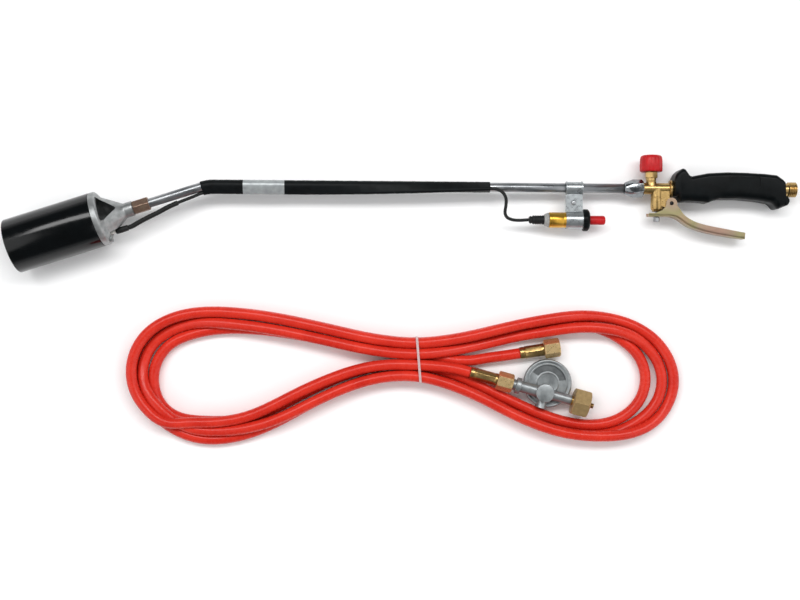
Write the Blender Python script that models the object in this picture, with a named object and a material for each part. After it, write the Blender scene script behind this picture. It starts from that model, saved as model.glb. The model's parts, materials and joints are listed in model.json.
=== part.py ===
"""Propane roofing torch: burner, bent lance, piezo igniter, lever valve and handle,
with its hose and regulator lying beside it.

Every dimension is in millimetres and becomes metres when a mesh or a place is made.
Torch frame: +X runs along the lance from burner to handle, +Y from the lever to the knob,
+Z is the side that faces up when the torch lies on the floor.
Head frame: +X runs along the burner's axis towards its mouth, +Y faces the spark lead.
Hose frame: the floor's plane, +Z up.
"""
import math

import bmesh
import bpy
from mathutils import Vector

MM = 0.001
GAP = 0.3
BEND_DEG = 18.0
BEND_X = -209.8
BEND_RADIUS = 45.0

# Lance and burner
TUBE_R = 5.1
TUBE_BORE_R = 3.9
TUBE_HEAD_S = 90.0
TUBE_END_X = 254.0
CUP_R = 30.0
CUP_WALL = 1.4
CUP_BACK_S = 125.3
CUP_MOUTH_S = 221.5
# Each window of the burner head: its angle in degrees, and where its base lies
WINDOWS = ((-22.0, 115.8), (98.0, 114.6), (218.0, 115.8))
ELECTRODE_RADIUS = 18.3
ELECTRODE_ANGLE_DEG = 98.0

# Spark lead
LEAD_R = 1.8
LEAD_OFFSET = TUBE_R + LEAD_R + GAP
LEAD_STEP = 8.3
SHEATH_R = 2.6
SHEATH_BORE_R = 2.15
SLEEVE_WALL = 0.6
SLEEVE_SIDES = 20
SLEEVE_START = -6.9
SLEEVE_END_X = 98.3
LABEL_X = (-169.8, -125.1)

# Igniter, on an axis parallel to the lance
PIEZO_Y = -35.2
PIEZO_CASE_R = 8.4
BRACKET_X = (181.4, 200.0)

# Valve
BARREL_R = 6.2
KNOB_X = 275.2
FLUTES = 12
STEM_X = 281.4
PIVOT = (296.5, -16.3)
COIL_STEPS = 14
LEVER_HALF_WIDTH = 8.0
SHEET = 1.4

# Handle and inlet
HANDLE_HALF_WIDTH = 16.0
PIPE_R = 5.0

# Hose and regulator
HOSE_R = 6.0
HOSE_FLOOR = 1.6
HOSE_TOP = 26.0
TIE_X = 20.4
REGULATOR_AT = (158.6, -101.8, 17.5)
REGULATOR_DEG = -15.4
DISC_AT = (1.2, 10.6)
DISC_R = 26.6
FREE_END_AT = (132.3, -58.7, 10.8)
FREE_END_DEG = 9.0
HOSE_NUT_AF = 18.2
CYLINDER_NUT_AF = 28.0

# Resting pose of the torch: the cup's back rim and the handle's flat side touch the floor.
TORCH_AT = (-2.54, 29.67)
TORCH_YAW_DEG = -0.39
REST_CUP_X = BEND_X - CUP_BACK_S * math.cos(math.radians(BEND_DEG))
REST_HANDLE_X = 421.8
REST_CLEARANCE = 0.05
TORCH_PITCH = math.asin((CUP_R - HANDLE_HALF_WIDTH) / (REST_HANDLE_X - REST_CUP_X))
TORCH_HEIGHT = (HANDLE_HALF_WIDTH * math.cos(TORCH_PITCH) + REST_HANDLE_X * math.sin(TORCH_PITCH)
                + REST_CLEARANCE)
HOSE_SET_AT = (-2.54, -94.23, 0.0)


# ---------------------------------------------------------------- helpers

def clear_scene():
    for item in list(bpy.data.objects):
        bpy.data.objects.remove(item, do_unlink=True)


def empty(name, parent=None, at=(0, 0, 0), turn_deg=(0, 0, 0)):
    frame = bpy.data.objects.new(name, None)
    bpy.context.collection.objects.link(frame)
    frame.parent = parent
    frame.location = Vector(at) * MM
    frame.rotation_euler = [math.radians(angle) for angle in turn_deg]
    return frame


def material(name, colour, roughness, metallic):
    look = bpy.data.materials.new(name + "_material")
    look.use_nodes = True
    shader = look.node_tree.nodes["Principled BSDF"]
    shader.inputs["Base Color"].default_value = (*colour, 1.0)
    shader.inputs["Roughness"].default_value = roughness
    shader.inputs["Metallic"].default_value = metallic
    return look


LOOKS = {
    "brass": ((0.72, 0.52, 0.22), 0.3, 1.0),
    "steel": ((0.62, 0.63, 0.65), 0.3, 1.0),
    "chrome": ((0.8, 0.8, 0.82), 0.12, 1.0),
    "zinc": ((0.55, 0.56, 0.57), 0.5, 1.0),
    "yellow_zinc": ((0.66, 0.58, 0.38), 0.32, 1.0),
    "black": ((0.012, 0.013, 0.014), 0.35, 0.0),
    "rubber": ((0.02, 0.02, 0.02), 0.7, 0.0),
    "red": ((0.6, 0.02, 0.03), 0.4, 0.0),
    "hose": ((0.72, 0.05, 0.03), 0.35, 0.0),
    "white": ((0.8, 0.8, 0.78), 0.5, 0.0),
}


def add_object(name, mesh, parent, look, at=(0, 0, 0), turn_deg=(0, 0, 0)):
    """Link a mesh as one named node with its own material."""
    piece = bpy.data.objects.new(name, mesh)
    bpy.context.collection.objects.link(piece)
    piece.parent = parent
    piece.location = Vector(at) * MM
    piece.rotation_euler = [math.radians(angle) for angle in turn_deg]
    mesh.materials.append(material(name, *LOOKS[look]))
    return piece


def mesh_from(bm, name, smooth_deg=35):
    bmesh.ops.recalc_face_normals(bm, faces=bm.faces)
    mesh = bpy.data.meshes.new(name)
    bm.to_mesh(mesh)
    bm.free()
    mesh.shade_smooth()
    mesh.set_sharp_from_angle(angle=math.radians(smooth_deg))
    return mesh


def turned(name, profile, sides=20, ring=False, phase_deg=0.0):
    """Solid of revolution about local +X; the profile lists (x, radius), a ring's profile is closed."""
    bm = bmesh.new()
    angles = [math.radians(phase_deg) + 2 * math.pi * i / sides for i in range(sides)]
    rows = []
    for x, radius in profile:
        places = [(x, radius * math.cos(a), radius * math.sin(a)) for a in angles]
        rows.append([bm.verts.new(Vector(p) * MM) for p in (places if radius else places[:1])])
    pairs = list(zip(rows, rows[1:]))
    if ring:
        pairs.append((rows[-1], rows[0]))
    for low, high in pairs:
        for i in range(sides):
            j = i + 1
            corners = [low[i % len(low)], low[j % len(low)], high[j % len(high)], high[i % len(high)]]
            bm.faces.new(list(dict.fromkeys(corners)))
    return mesh_from(bm, name)


def loft(name, rings, closed=False):
    """Closed body through rings of points that all have the same count."""
    bm = bmesh.new()
    rows = [[bm.verts.new(Vector(p) * MM) for p in ring] for ring in rings]
    pairs = list(zip(rows, rows[1:]))
    if closed:
        pairs.append((rows[-1], rows[0]))
    else:
        bm.faces.new(list(reversed(rows[0])))
        bm.faces.new(rows[-1])
    count = len(rows[0])
    for low, high in pairs:
        for i in range(count):
            j = (i + 1) % count
            bm.faces.new([low[i], low[j], high[j], high[i]])
    return mesh_from(bm, name)


def prism(name, outline, low, high):
    """An outline in the XY plane, extruded along Z."""
    return loft(name, [[(x, y, z) for x, y in outline] for z in (low, high)])


def block(name, low, high):
    outline = [(low[0], low[1]), (high[0], low[1]), (high[0], high[1]), (low[0], high[1])]
    return prism(name, outline, low[2], high[2])


def arc(centre, radius, start_deg, end_deg, steps):
    """Points on an arc, both ends included."""
    angles = [math.radians(start_deg + (end_deg - start_deg) * i / steps) for i in range(steps + 1)]
    return [(centre[0] + radius * math.cos(a), centre[1] + radius * math.sin(a)) for a in angles]


def rounded(outline, radius, steps=3):
    """Replace each corner of a closed outline by a short curve that starts `radius` from it."""
    points = []
    count = len(outline)
    for i in range(count):
        before, corner, after = (Vector(outline[(i + k) % count]) for k in (-1, 0, 1))
        start = corner + (before - corner).normalized() * radius
        end = corner + (after - corner).normalized() * radius
        for k in range(steps + 1):
            t = k / steps
            points.append(tuple(start.lerp(corner, t).lerp(corner.lerp(end, t), t)))
    return points


def shape_with(target, name, mesh, operation, parent, at=(0, 0, 0), turn_deg=(0, 0, 0)):
    """Cut, join or intersect a node with a hidden tool shape."""
    tool = bpy.data.objects.new(name, mesh)
    bpy.context.collection.objects.link(tool)
    tool.parent = parent
    tool.location = Vector(at) * MM
    tool.rotation_euler = [math.radians(angle) for angle in turn_deg]
    tool.hide_render = True
    tool.display_type = 'WIRE'
    step = target.modifiers.new(name, 'BOOLEAN')
    step.operation = operation
    step.solver = 'EXACT'
    step.object = tool
    return tool


def cut(target, name, mesh, parent, at=(0, 0, 0), turn_deg=(0, 0, 0)):
    return shape_with(target, name, mesh, 'DIFFERENCE', parent, at, turn_deg)


def join(target, name, mesh, parent, at=(0, 0, 0), turn_deg=(0, 0, 0)):
    return shape_with(target, name, mesh, 'UNION', parent, at, turn_deg)


def keep(target, name, mesh, parent, at=(0, 0, 0), turn_deg=(0, 0, 0)):
    return shape_with(target, name, mesh, 'INTERSECT', parent, at, turn_deg)


def cylinder(name, start, end, radius, sides=20, phase_deg=0.0):
    """Plain cylinder about local +X."""
    return turned(name, [(start, 0), (start, radius), (end, radius), (end, 0)], sides, False, phase_deg)


def hexagon(name, start, end, across_flats, corner_up=True):
    """Hexagonal bar along +X, with a corner or a flat facing +Z."""
    radius = across_flats / 2 / math.cos(math.radians(30))
    return cylinder(name, start, end, radius, 6, 30.0 if corner_up else 0.0)


def nut(name, parent, look, start, end, across_flats, bores, corner_up=True, chamfer=1.0, nose=None):
    """Hexagonal nut along +X; bores lists (from x, to x, radius), nose overrides the chamfer's profile."""
    piece = add_object(name, hexagon(name, start, end, across_flats, corner_up), parent, look)
    corner = across_flats / 2 / math.cos(math.radians(30)) + 0.15
    face, reach = across_flats * 0.485, 1.2
    slope = (corner - face) / chamfer
    profile = nose or [(start - reach, 0), (start - reach, face - slope * reach), (start + chamfer, corner),
                       (end - chamfer, corner), (end + reach, face - slope * reach), (end + reach, 0)]
    keep(piece, name + "_chamfer", turned(name + "_chamfer", profile, 20, False, 4.0), parent)
    for index, (low, high, radius) in enumerate(bores):
        tool = name + "_bore_" + str(index)
        cut(piece, tool, cylinder(tool, low, high, radius), parent)
    return piece


def catmull(points, per_span=12):
    """Dense points on a centripetal Catmull-Rom curve through the route's own points."""
    pts = [Vector(p) for p in points]
    pts = [pts[0] * 2 - pts[1]] + pts + [pts[-1] * 2 - pts[-2]]
    dense = []
    for i in range(1, len(pts) - 2):
        p0, p1, p2, p3 = pts[i - 1:i + 3]
        t1 = (p1 - p0).length ** 0.5
        t2 = t1 + (p2 - p1).length ** 0.5
        t3 = t2 + (p3 - p2).length ** 0.5
        for k in range(per_span):
            t = t1 + (t2 - t1) * k / per_span
            a1 = p0 * ((t1 - t) / t1) + p1 * (t / t1)
            a2 = p1 * ((t2 - t) / (t2 - t1)) + p2 * ((t - t1) / (t2 - t1))
            a3 = p2 * ((t3 - t) / (t3 - t2)) + p3 * ((t - t2) / (t3 - t2))
            b1 = a1 * ((t2 - t) / t2) + a2 * (t / t2)
            b2 = a2 * ((t3 - t) / (t3 - t1)) + a3 * ((t - t1) / (t3 - t1))
            dense.append(b1 * ((t2 - t) / (t2 - t1)) + b2 * ((t - t1) / (t2 - t1)))
    return dense + [pts[-2]]


def smooth_route(points, step):
    """Evenly spaced points along the smooth curve through the route's own points."""
    dense = catmull(points)
    reach = [0.0]
    for a, b in zip(dense, dense[1:]):
        reach.append(reach[-1] + (b - a).length)
    count = max(2, round(reach[-1] / step))
    route = []
    index = 0
    for k in range(count + 1):
        target = reach[-1] * k / count
        while index < len(dense) - 2 and reach[index + 1] < target:
            index += 1
        span = reach[index + 1] - reach[index]
        share = (target - reach[index]) / span if span else 0.0
        route.append(dense[index].lerp(dense[index + 1], share))
    return route


def cord(name, route, radius, parent, look, resolution=2):
    """Round tube with filled caps along a route."""
    curve = bpy.data.curves.new(name, 'CURVE')
    curve.dimensions = '3D'
    curve.bevel_depth = radius * MM
    curve.bevel_resolution = resolution
    curve.use_fill_caps = True
    curve.resolution_u = 1
    curve.render_resolution_u = 0
    spline = curve.splines.new('POLY')
    spline.points.add(len(route) - 1)
    for point, place in zip(spline.points, route):
        point.co = (*(Vector(place) * MM), 1.0)
    return add_object(name, curve, parent, look)


def section_frames(route):
    """Origin and the two section directions (sideways in the plane, and up) at each point of a route."""
    route = [Vector(p) for p in route]
    up = Vector((0, 0, 1))
    frames = []
    for i, place in enumerate(route):
        ahead = route[min(i + 1, len(route) - 1)]
        behind = route[max(i - 1, 0)]
        along = (ahead - behind).normalized()
        side = up.cross(along).normalized()
        frames.append((place, side, along.cross(side)))
    return frames


def circle(radius, sides):
    return [(radius * math.cos(2 * math.pi * i / sides), radius * math.sin(2 * math.pi * i / sides))
            for i in range(sides)]


def pipe(name, route, outer, inner):
    """Hollow tube along a route; outer and inner list one section outline per point of the route."""
    frames = section_frames(route)
    outside = [[o + a * s + b * u for a, b in outline] for (o, s, u), outline in zip(frames, outer)]
    inside = [[o + a * s + b * u for a, b in outline] for (o, s, u), outline in zip(frames, inner)]
    return loft(name, outside + inside[::-1], closed=True)


def coil(name, start, end, coil_radius, wire_radius, turns, parent, at=(0, 0, 0), turn_deg=(0, 0, 0)):
    """Helical spring about local +X."""
    steps = turns * COIL_STEPS
    route = []
    for i in range(steps + 1):
        t = i / steps
        angle = 2 * math.pi * turns * t
        x = start + wire_radius + (end - start - 2 * wire_radius) * t
        route.append((x, coil_radius * math.cos(angle), coil_radius * math.sin(angle)))
    spring = cord(name, route, wire_radius, parent, "steel", 1)
    spring.location = Vector(at) * MM
    spring.rotation_euler = [math.radians(angle) for angle in turn_deg]
    return spring


# ---------------------------------------------------------------- lance, sleeve and spark lead

def head_point(s, n, z=0.0):
    """A point of the head frame in the torch frame."""
    c, k = math.cos(math.radians(BEND_DEG)), math.sin(math.radians(BEND_DEG))
    return Vector((BEND_X - s * c + n * k, -s * k - n * c, z))


def lance_at(u):
    """Centre line of the lance at distance u past the bend's corner (negative towards the burner)."""
    half = BEND_RADIUS * math.tan(math.radians(BEND_DEG / 2))
    if u <= -half:
        return head_point(-u, 0)
    if u >= half:
        return Vector((BEND_X + u, 0, 0))
    angle = math.radians(BEND_DEG) * (half - u) / (2 * half)
    return Vector((BEND_X + half - BEND_RADIUS * math.sin(angle), -BEND_RADIUS * (1 - math.cos(angle)), 0))


def lead_turn(u):
    """Angle by which the lead has wound from below the tube towards its upper side."""
    x = BEND_X + u
    return math.radians(74.0) * min(1.0, max(0.0, (x + 110.0) / (SLEEVE_END_X + 110.0)))


def sleeve_section(u, grow):
    """Outline round the tube and the lead together, `grow` outside their surfaces."""
    turn = lead_turn(u)
    lead_at = Vector((-LEAD_OFFSET * math.cos(turn), LEAD_OFFSET * math.sin(turn)))
    outline = []
    for i in range(SLEEVE_SIDES):
        angle = 2 * math.pi * (i + 0.5) / SLEEVE_SIDES
        away = Vector((math.cos(angle), math.sin(angle)))
        tube = away * (TUBE_R + grow)
        lead = lead_at + away * (LEAD_R + grow)
        outline.append(tuple(lead if lead.dot(away) > tube.dot(away) else tube))
    return outline


def make_lance(torch):
    bend = [-7.1 + 14.2 * i / 4 for i in range(5)]
    stations = [-TUBE_HEAD_S] + bend + [TUBE_END_X - BEND_X]
    route = [lance_at(u) for u in stations]
    outer = [circle(TUBE_R, 18)] * len(route)
    inner = [circle(TUBE_BORE_R, 18)] * len(route)
    add_object("lance_tube", pipe("lance_tube", route, outer, inner), torch, "steel")
    olive = [(249.6, TUBE_R + GAP), (249.6, 6.2), (251.2, 6.9), (253.4, 6.0), (253.4, TUBE_R + GAP)]
    add_object("lance_olive", turned("lance_olive", olive, 16, True), torch, "brass")


def make_sleeve(torch):
    end = SLEEVE_END_X - BEND_X
    stations = [SLEEVE_START, -3.0, 1.0, 5.0, 8.0] + [95.0 + (end - 95.0) * i / 7 for i in range(8)]
    route = [lance_at(u) for u in stations]
    outer = [sleeve_section(u, GAP + SLEEVE_WALL) for u in stations]
    inner = [sleeve_section(u, GAP) for u in stations]
    add_object("lance_sleeve", pipe("lance_sleeve", route, outer, inner), torch, "black")


def make_label(torch):
    """Thin patch on the sleeve's upper side."""
    rings = []
    for x in LABEL_X:
        skin = sleeve_section(x - BEND_X, 2 * GAP + SLEEVE_WALL + 0.35)
        back = sleeve_section(x - BEND_X, 2 * GAP + SLEEVE_WALL)
        ring = skin[2:10] + back[2:10][::-1]
        rings.append([(x, a, b) for a, b in ring])
    add_object("sleeve_label", loft("sleeve_label", rings), torch, "white")


def electrode_place():
    angle = math.radians(ELECTRODE_ANGLE_DEG)
    return ELECTRODE_RADIUS * math.sin(angle), ELECTRODE_RADIUS * math.cos(angle)


def lead_route():
    """The spark lead from the burner's boot to the igniter's boot, in the torch frame."""
    n, z = electrode_place()
    front = [head_point(95.6, n, z), head_point(91.5, n - 0.2, z), head_point(82.5, 16.0, -1.9),
             head_point(72.0, 14.2, -1.2), head_point(60.0, 12.4, -0.6), head_point(48.0, 10.2, 0.0),
             head_point(35.0, 8.7, 0.0), head_point(21.0, 7.8, 0.0)]
    inside = []
    for u in [-8.0, 0.0, 8.0] + [30.0 + 27.8 * i for i in range(11)]:
        turn = lead_turn(u)
        inside.append(lance_at(u) + Vector((0, -LEAD_OFFSET * math.cos(turn), LEAD_OFFSET * math.sin(turn))))
    rear = [(106.0, -2.9, 7.2), (112.3, -6.6, 6.6), (115.6, -13.0, 5.0), (115.6, -20.5, 3.0),
            (115.0, -27.5, 1.3), (117.4, -32.8, 0.4), (124.0, -35.4, 0.0), (132.0, -35.8, 0.0),
            (140.9, PIEZO_Y, 0.0)]
    return front + inside + rear


def make_lead(torch):
    route = smooth_route(lead_route(), LEAD_STEP)
    cord("ignition_lead", route, LEAD_R, torch, "rubber")
    covered = route[:8]
    outer = [circle(SHEATH_R, 10)] * len(covered)
    inner = [circle(SHEATH_BORE_R, 10)] * len(covered)
    add_object("lead_sheath", pipe("lead_sheath", covered, outer, inner), torch, "rubber")


# ---------------------------------------------------------------- burner

def make_burner_head(head):
    inner_mouth = CUP_R - CUP_WALL - GAP
    casting = [(84.3, 8.2), (92.8, 8.2), (94.6, 8.9), (114.5, 22.0), (115.2, 23.0), (118.6, 28.8),
               (119.6, 29.8), (125.0, 29.8), (125.0, inner_mouth), (131.5, inner_mouth),
               (131.5, inner_mouth - 2.4), (120.5, inner_mouth - 3.6), (116.5, 22.4), (113.0, 18.9),
               (98.0, 7.4), (95.6, 5.5), (84.3, 5.5)]
    piece = add_object("burner_head", turned("burner_head", casting, 28, True), head, "zinc")
    lug_at = (0, 24.6, 4.5)
    join(piece, "head_lug", cylinder("head_lug", 114.9, 120.0, 3.9, 16), head, lug_at)
    cut(piece, "lug_hole", cylinder("lug_hole", 110.0, 117.5, 1.3, 12), head, lug_at)
    for index, (angle, base) in enumerate(WINDOWS):
        window = rounded([(102.3, 0.0), (base, -13.2), (base, 13.2)], 2.6, 2)
        tool = prism("head_window_" + str(index), window, 8.5, 32.0)
        cut(piece, "head_window_" + str(index), tool, head, (0, 0, 0), (-angle, 0, 0))


def make_burner_cup(head):
    inner = CUP_R - CUP_WALL
    tube = [(CUP_BACK_S, CUP_R), (CUP_MOUTH_S - 0.5, CUP_R), (CUP_MOUTH_S, CUP_R - 0.5),
            (CUP_MOUTH_S, inner), (CUP_BACK_S, inner)]
    add_object("burner_cup", turned("burner_cup", tube, 36, True), head, "black")


def make_burner_inside(head):
    n, z = electrode_place()
    jet = [(90.3, 4.9), (96.5, 4.9), (97.5, 4.0), (103.5, 3.2), (106.0, 1.7), (106.0, 0.6), (90.3, 0.6)]
    add_object("gas_jet", turned("gas_jet", jet, 16, True), head, "brass")
    disc = cylinder("flame_stabiliser", 127.0, 129.2, CUP_R - CUP_WALL - 3.8, 32)
    piece = add_object("flame_stabiliser", disc, head, "steel")
    cut(piece, "stabiliser_bore", cylinder("stabiliser_bore", 125.0, 131.0, 9.0, 24), head)
    for index in range(10):
        angle = math.radians(ELECTRODE_ANGLE_DEG + 36.0 * index)
        place = (0, ELECTRODE_RADIUS * math.sin(angle), ELECTRODE_RADIUS * math.cos(angle))
        hole = "stabiliser_hole_" + str(index)
        cut(piece, hole, cylinder(hole, 125.0, 131.0, 2.3, 8), head, place)
    insulator = [(97.2, 1.8), (136.0, 1.8), (136.0, 1.0), (97.2, 1.0)]
    tube = turned("electrode_insulator", insulator, 12, True)
    add_object("electrode_insulator", tube, head, "white", (0, n, z))
    rod = [(98.0, n, z), (120.0, n, z), (139.0, n, z), (143.5, n - 1.6, z), (146.5, n - 5.0, z)]
    cord("spark_electrode", smooth_route(rod, 3.0), 0.7, head, "steel")
    boot = [(96.0, 0), (96.0, 3.0), (104.0, 3.2), (105.2, 2.8), (105.2, 2.1), (97.0, 2.1), (97.0, 0)]
    add_object("electrode_boot", turned("electrode_boot", boot, 16), head, "rubber", (0, n, z))


def make_head_nut(head):
    nut("head_nut", head, "brass", 66.2, 84.0, 13.6, [(60, 90, TUBE_R + GAP)])


# ---------------------------------------------------------------- igniter

def make_igniter(torch):
    axis = empty("igniter_axis", torch, (0, PIEZO_Y, 0))
    boot = [(141.2, 0), (141.2, 3.0), (142.6, 4.2), (144.0, 3.7), (145.4, 4.8), (158.8, 5.0), (158.8, 2.1),
            (148.0, 2.1), (148.0, 0)]
    add_object("igniter_boot", turned("igniter_boot", boot, 20), axis, "rubber")
    collar = [(157.8, 6.3), (162.0, 7.9), (162.9, 7.9), (162.9, 5.4), (157.8, 5.4)]
    add_object("igniter_collar", turned("igniter_collar", collar, 20, True), axis, "white")
    case = [(163.2, PIEZO_CASE_R), (200.0, PIEZO_CASE_R), (200.0, 5.4), (163.2, 5.4)]
    add_object("igniter_case", turned("igniter_case", case, 24, True), axis, "brass")
    core = [(149.0, 0), (149.0, 1.8), (163.5, 1.8), (163.5, 5.1), (188.0, 5.1), (188.0, 0)]
    add_object("piezo_element", turned("piezo_element", core, 20), axis, "white")
    coil("button_spring", 188.3, 192.6, 3.8, 0.45, 3, axis)
    ring = [(200.3, 11.2), (200.9, 12.0), (205.4, 12.0), (207.3, 9.6), (207.3, 5.35), (200.3, 5.35)]
    add_object("igniter_ring", turned("igniter_ring", ring, 24, True), axis, "black")
    press = empty("button_axis", axis, (225.0, 0, 0))
    button = [(-26.0, 0), (-26.0, 5.0), (-0.9, 5.0), (0.0, 4.1), (0.0, 0)]
    add_object("igniter_button", turned("igniter_button", button, 24), press, "red")


def make_bracket(torch):
    """Sheet strap round lance and igniter, with a double web between the two loops."""
    low, high = BRACKET_X
    loop_r, web = PIEZO_CASE_R + 1.3, 1.3
    near, far = (math.degrees(math.asin(web / radius)) for radius in (6.7, loop_r))
    outline = arc((0, 0), 6.7, near - 180, 180 - near, 18) + arc((PIEZO_Y, 0), loop_r, far, 360 - far, 22)
    strap = loft("igniter_bracket", [[(x, y, z) for y, z in outline] for x in (low, high)])
    piece = add_object("igniter_bracket", strap, torch, "steel")
    for index, start in enumerate((low + 0.2, high - 1.8)):
        bead = "bracket_bead_" + str(index)
        join(piece, bead, cylinder(bead, start, start + 1.6, 7.3), torch)
    cut(piece, "bracket_bore", cylinder("bracket_bore", low - 5, high + 5, TUBE_R + GAP), torch)
    grip = cylinder("bracket_grip", low - 5, high + 5, PIEZO_CASE_R + GAP, 22)
    cut(piece, "bracket_grip", grip, torch, (0, PIEZO_Y, 0))
    rivet_at = (190.1, -16.3, 0)
    cut(piece, "rivet_hole", cylinder("rivet_hole", -5, 5, 1.7, 16), torch, rivet_at, (0, -90, 0))
    rivet = [(-2.6, 0), (-2.6, 1.8), (-1.6, 2.7), (-1.6, 1.4), (1.6, 1.4), (1.6, 2.7), (2.6, 1.8), (2.6, 0)]
    add_object("bracket_rivet", turned("bracket_rivet", rivet, 16), torch, "steel", rivet_at, (0, -90, 0))


# ---------------------------------------------------------------- valve

def make_union_nut(torch):
    nose = [(245.6, 0), (245.6, 6.0), (246.6, 6.7), (255.6, 10.2), (264.9, 10.2), (266.3, 8.6), (266.3, 0)]
    bores = [(240, 270, TUBE_R + GAP), (249.3, 270, 7.2)]
    nut("lance_nut", torch, "chrome", 245.6, 266.3, 17.2, bores, corner_up=False, nose=nose)


def make_valve_body(torch):
    barrel = [(253.7, 0), (253.7, 6.0), (255.2, 6.9), (265.4, 6.9), (266.6, BARREL_R), (300.9, BARREL_R),
              (300.9, 0)]
    piece = add_object("valve_body", turned("valve_body", barrel), torch, "brass")
    upper = [(0.5, 0), (0.5, 5.6), (13.7, 5.6), (13.7, 0)]
    join(piece, "valve_neck", turned("valve_neck", upper), torch, (KNOB_X, 0, 0), (0, 0, 90))
    lower = [(0.5, 0), (0.5, 6.5), (21.6, 6.5), (23.6, 5.4), (23.6, 0)]
    join(piece, "valve_leg", turned("valve_leg", lower), torch, (STEM_X, 0, 0), (0, 0, -90))
    ear = arc(PIVOT, 4.7, -95, 75, 6)
    lug = [(285.0, -3.0), (285.0, -19.6), (291.0, -20.8)] + ear + [(294.4, -9.8), (294.4, -3.0)]
    join(piece, "valve_lug", prism("valve_lug", lug, -5.5, 5.5), torch)
    cut(piece, "valve_passage", cylinder("valve_passage", 250, 292, 3.0, 16), torch)
    cut(piece, "valve_outlet", cylinder("valve_outlet", 291.7, 305, PIPE_R - 0.4 + GAP, 20), torch)
    cut(piece, "lance_seat", cylinder("lance_seat", 250, 257.0, TUBE_R + GAP, 20), torch)
    neck_bore = [(-1, 0), (-1, 1.6), (3.6, 1.6), (5.0, 3.2), (20, 3.2), (20, 0)]
    cut(piece, "neck_bore", turned("neck_bore", neck_bore, 16), torch, (KNOB_X, 0, 0), (0, 0, 90))
    leg_bore = [(-1, 0), (-1, 1.8), (5.0, 1.8), (6.4, 4.1), (30, 4.1), (30, 0)]
    cut(piece, "leg_bore", turned("leg_bore", leg_bore, 20), torch, (STEM_X, 0, 0), (0, 0, -90))
    cut(piece, "pivot_bore", cylinder("pivot_bore", -9, 9, 2.2, 16), torch, (*PIVOT, 0), (0, -90, 0))


def make_flow_control(torch):
    """Bonnet, packing, needle spindle and knob on the upper branch, all about the torch's +Y."""
    up = (0, 0, 90)
    bonnet = [(14.0, 6.5), (19.9, 6.5), (20.8, 5.7), (20.8, 2.2), (18.2, 2.2), (18.2, 4.2), (14.0, 4.2)]
    add_object("valve_bonnet", turned("valve_bonnet", bonnet, 20, True), torch, "brass", (KNOB_X, 0, 0), up)
    packing = [(14.2, 3.9), (17.9, 3.9), (17.9, 2.15), (14.2, 2.15)]
    ring = turned("spindle_packing", packing, 16, True)
    add_object("spindle_packing", ring, torch, "rubber", (KNOB_X, 0, 0), up)
    needle_frame = empty("needle_axis", torch, (KNOB_X, 0, 0), up)
    needle = [(2.0, 0), (4.6, 1.3), (8.0, 1.3), (8.6, 2.7), (11.0, 2.7), (11.4, 1.8), (32.6, 1.8), (32.6, 0)]
    add_object("needle_spindle", turned("needle_spindle", needle, 16), needle_frame, "steel")
    knob_frame = empty("knob_axis", needle_frame)
    sides = 3 * FLUTES
    rings = []
    for x, radius in ((18.3, 11.3), (19.4, 12.3), (25.0, 12.5), (33.6, 12.0), (35.6, 11.0), (36.5, 9.0)):
        flutes = [radius - 0.45 * (1 - math.cos(FLUTES * 2 * math.pi * i / sides)) for i in range(sides)]
        rings.append([(x, r * math.cos(2 * math.pi * i / sides), r * math.sin(2 * math.pi * i / sides))
                      for i, r in enumerate(flutes)])
    knob = add_object("flow_knob", loft("flow_knob", rings), knob_frame, "red")
    cut(knob, "knob_hollow", cylinder("knob_hollow", 10, 24.0, 7.4), knob_frame)
    cut(knob, "knob_bore", cylinder("knob_bore", 10, 33.0, 2.1, 16), knob_frame)


def make_lever_valve(torch):
    """Stem, seal, spring and gland in the lower branch, all about the torch's -Y."""
    down = (0, 0, -90)
    gland = [(17.0, 3.8), (22.2, 3.8), (23.9, 3.8), (23.9, 5.2), (25.2, 4.8), (25.2, 1.9), (17.0, 1.9)]
    add_object("gland_nut", turned("gland_nut", gland, 20, True), torch, "brass", (STEM_X, 0, 0), down)
    coil("stem_spring", 14.3, 16.7, 2.6, 0.3, 2, torch, (STEM_X, 0, 0), down)
    stem_frame = empty("stem_axis", torch, (STEM_X, 0, 0), down)
    stem = [(7.0, 0), (7.0, 1.2), (8.2, 1.2), (8.2, 3.2), (9.2, 3.2), (9.2, 1.5), (36.0, 1.5), (36.0, 0)]
    add_object("valve_stem", turned("valve_stem", stem, 16), stem_frame, "steel")
    seal = [(6.7, 1.5), (6.7, 3.1), (7.9, 3.1), (7.9, 1.5)]
    add_object("stem_seal", turned("stem_seal", seal, 16, True), stem_frame, "rubber")
    adjuster = nut("stem_nut", stem_frame, "steel", 31.0, 36.3, 6.0, [(25, 40, 1.8)], False, 0.6)
    return adjuster


LEVER_UNDERSIDE = [(271.6, -30.6), (295.0, -30.6), (303.4, -33.2), (314.5, -41.0), (328.3, -46.2),
                   (342.2, -49.4), (376.8, -54.9)]


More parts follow.
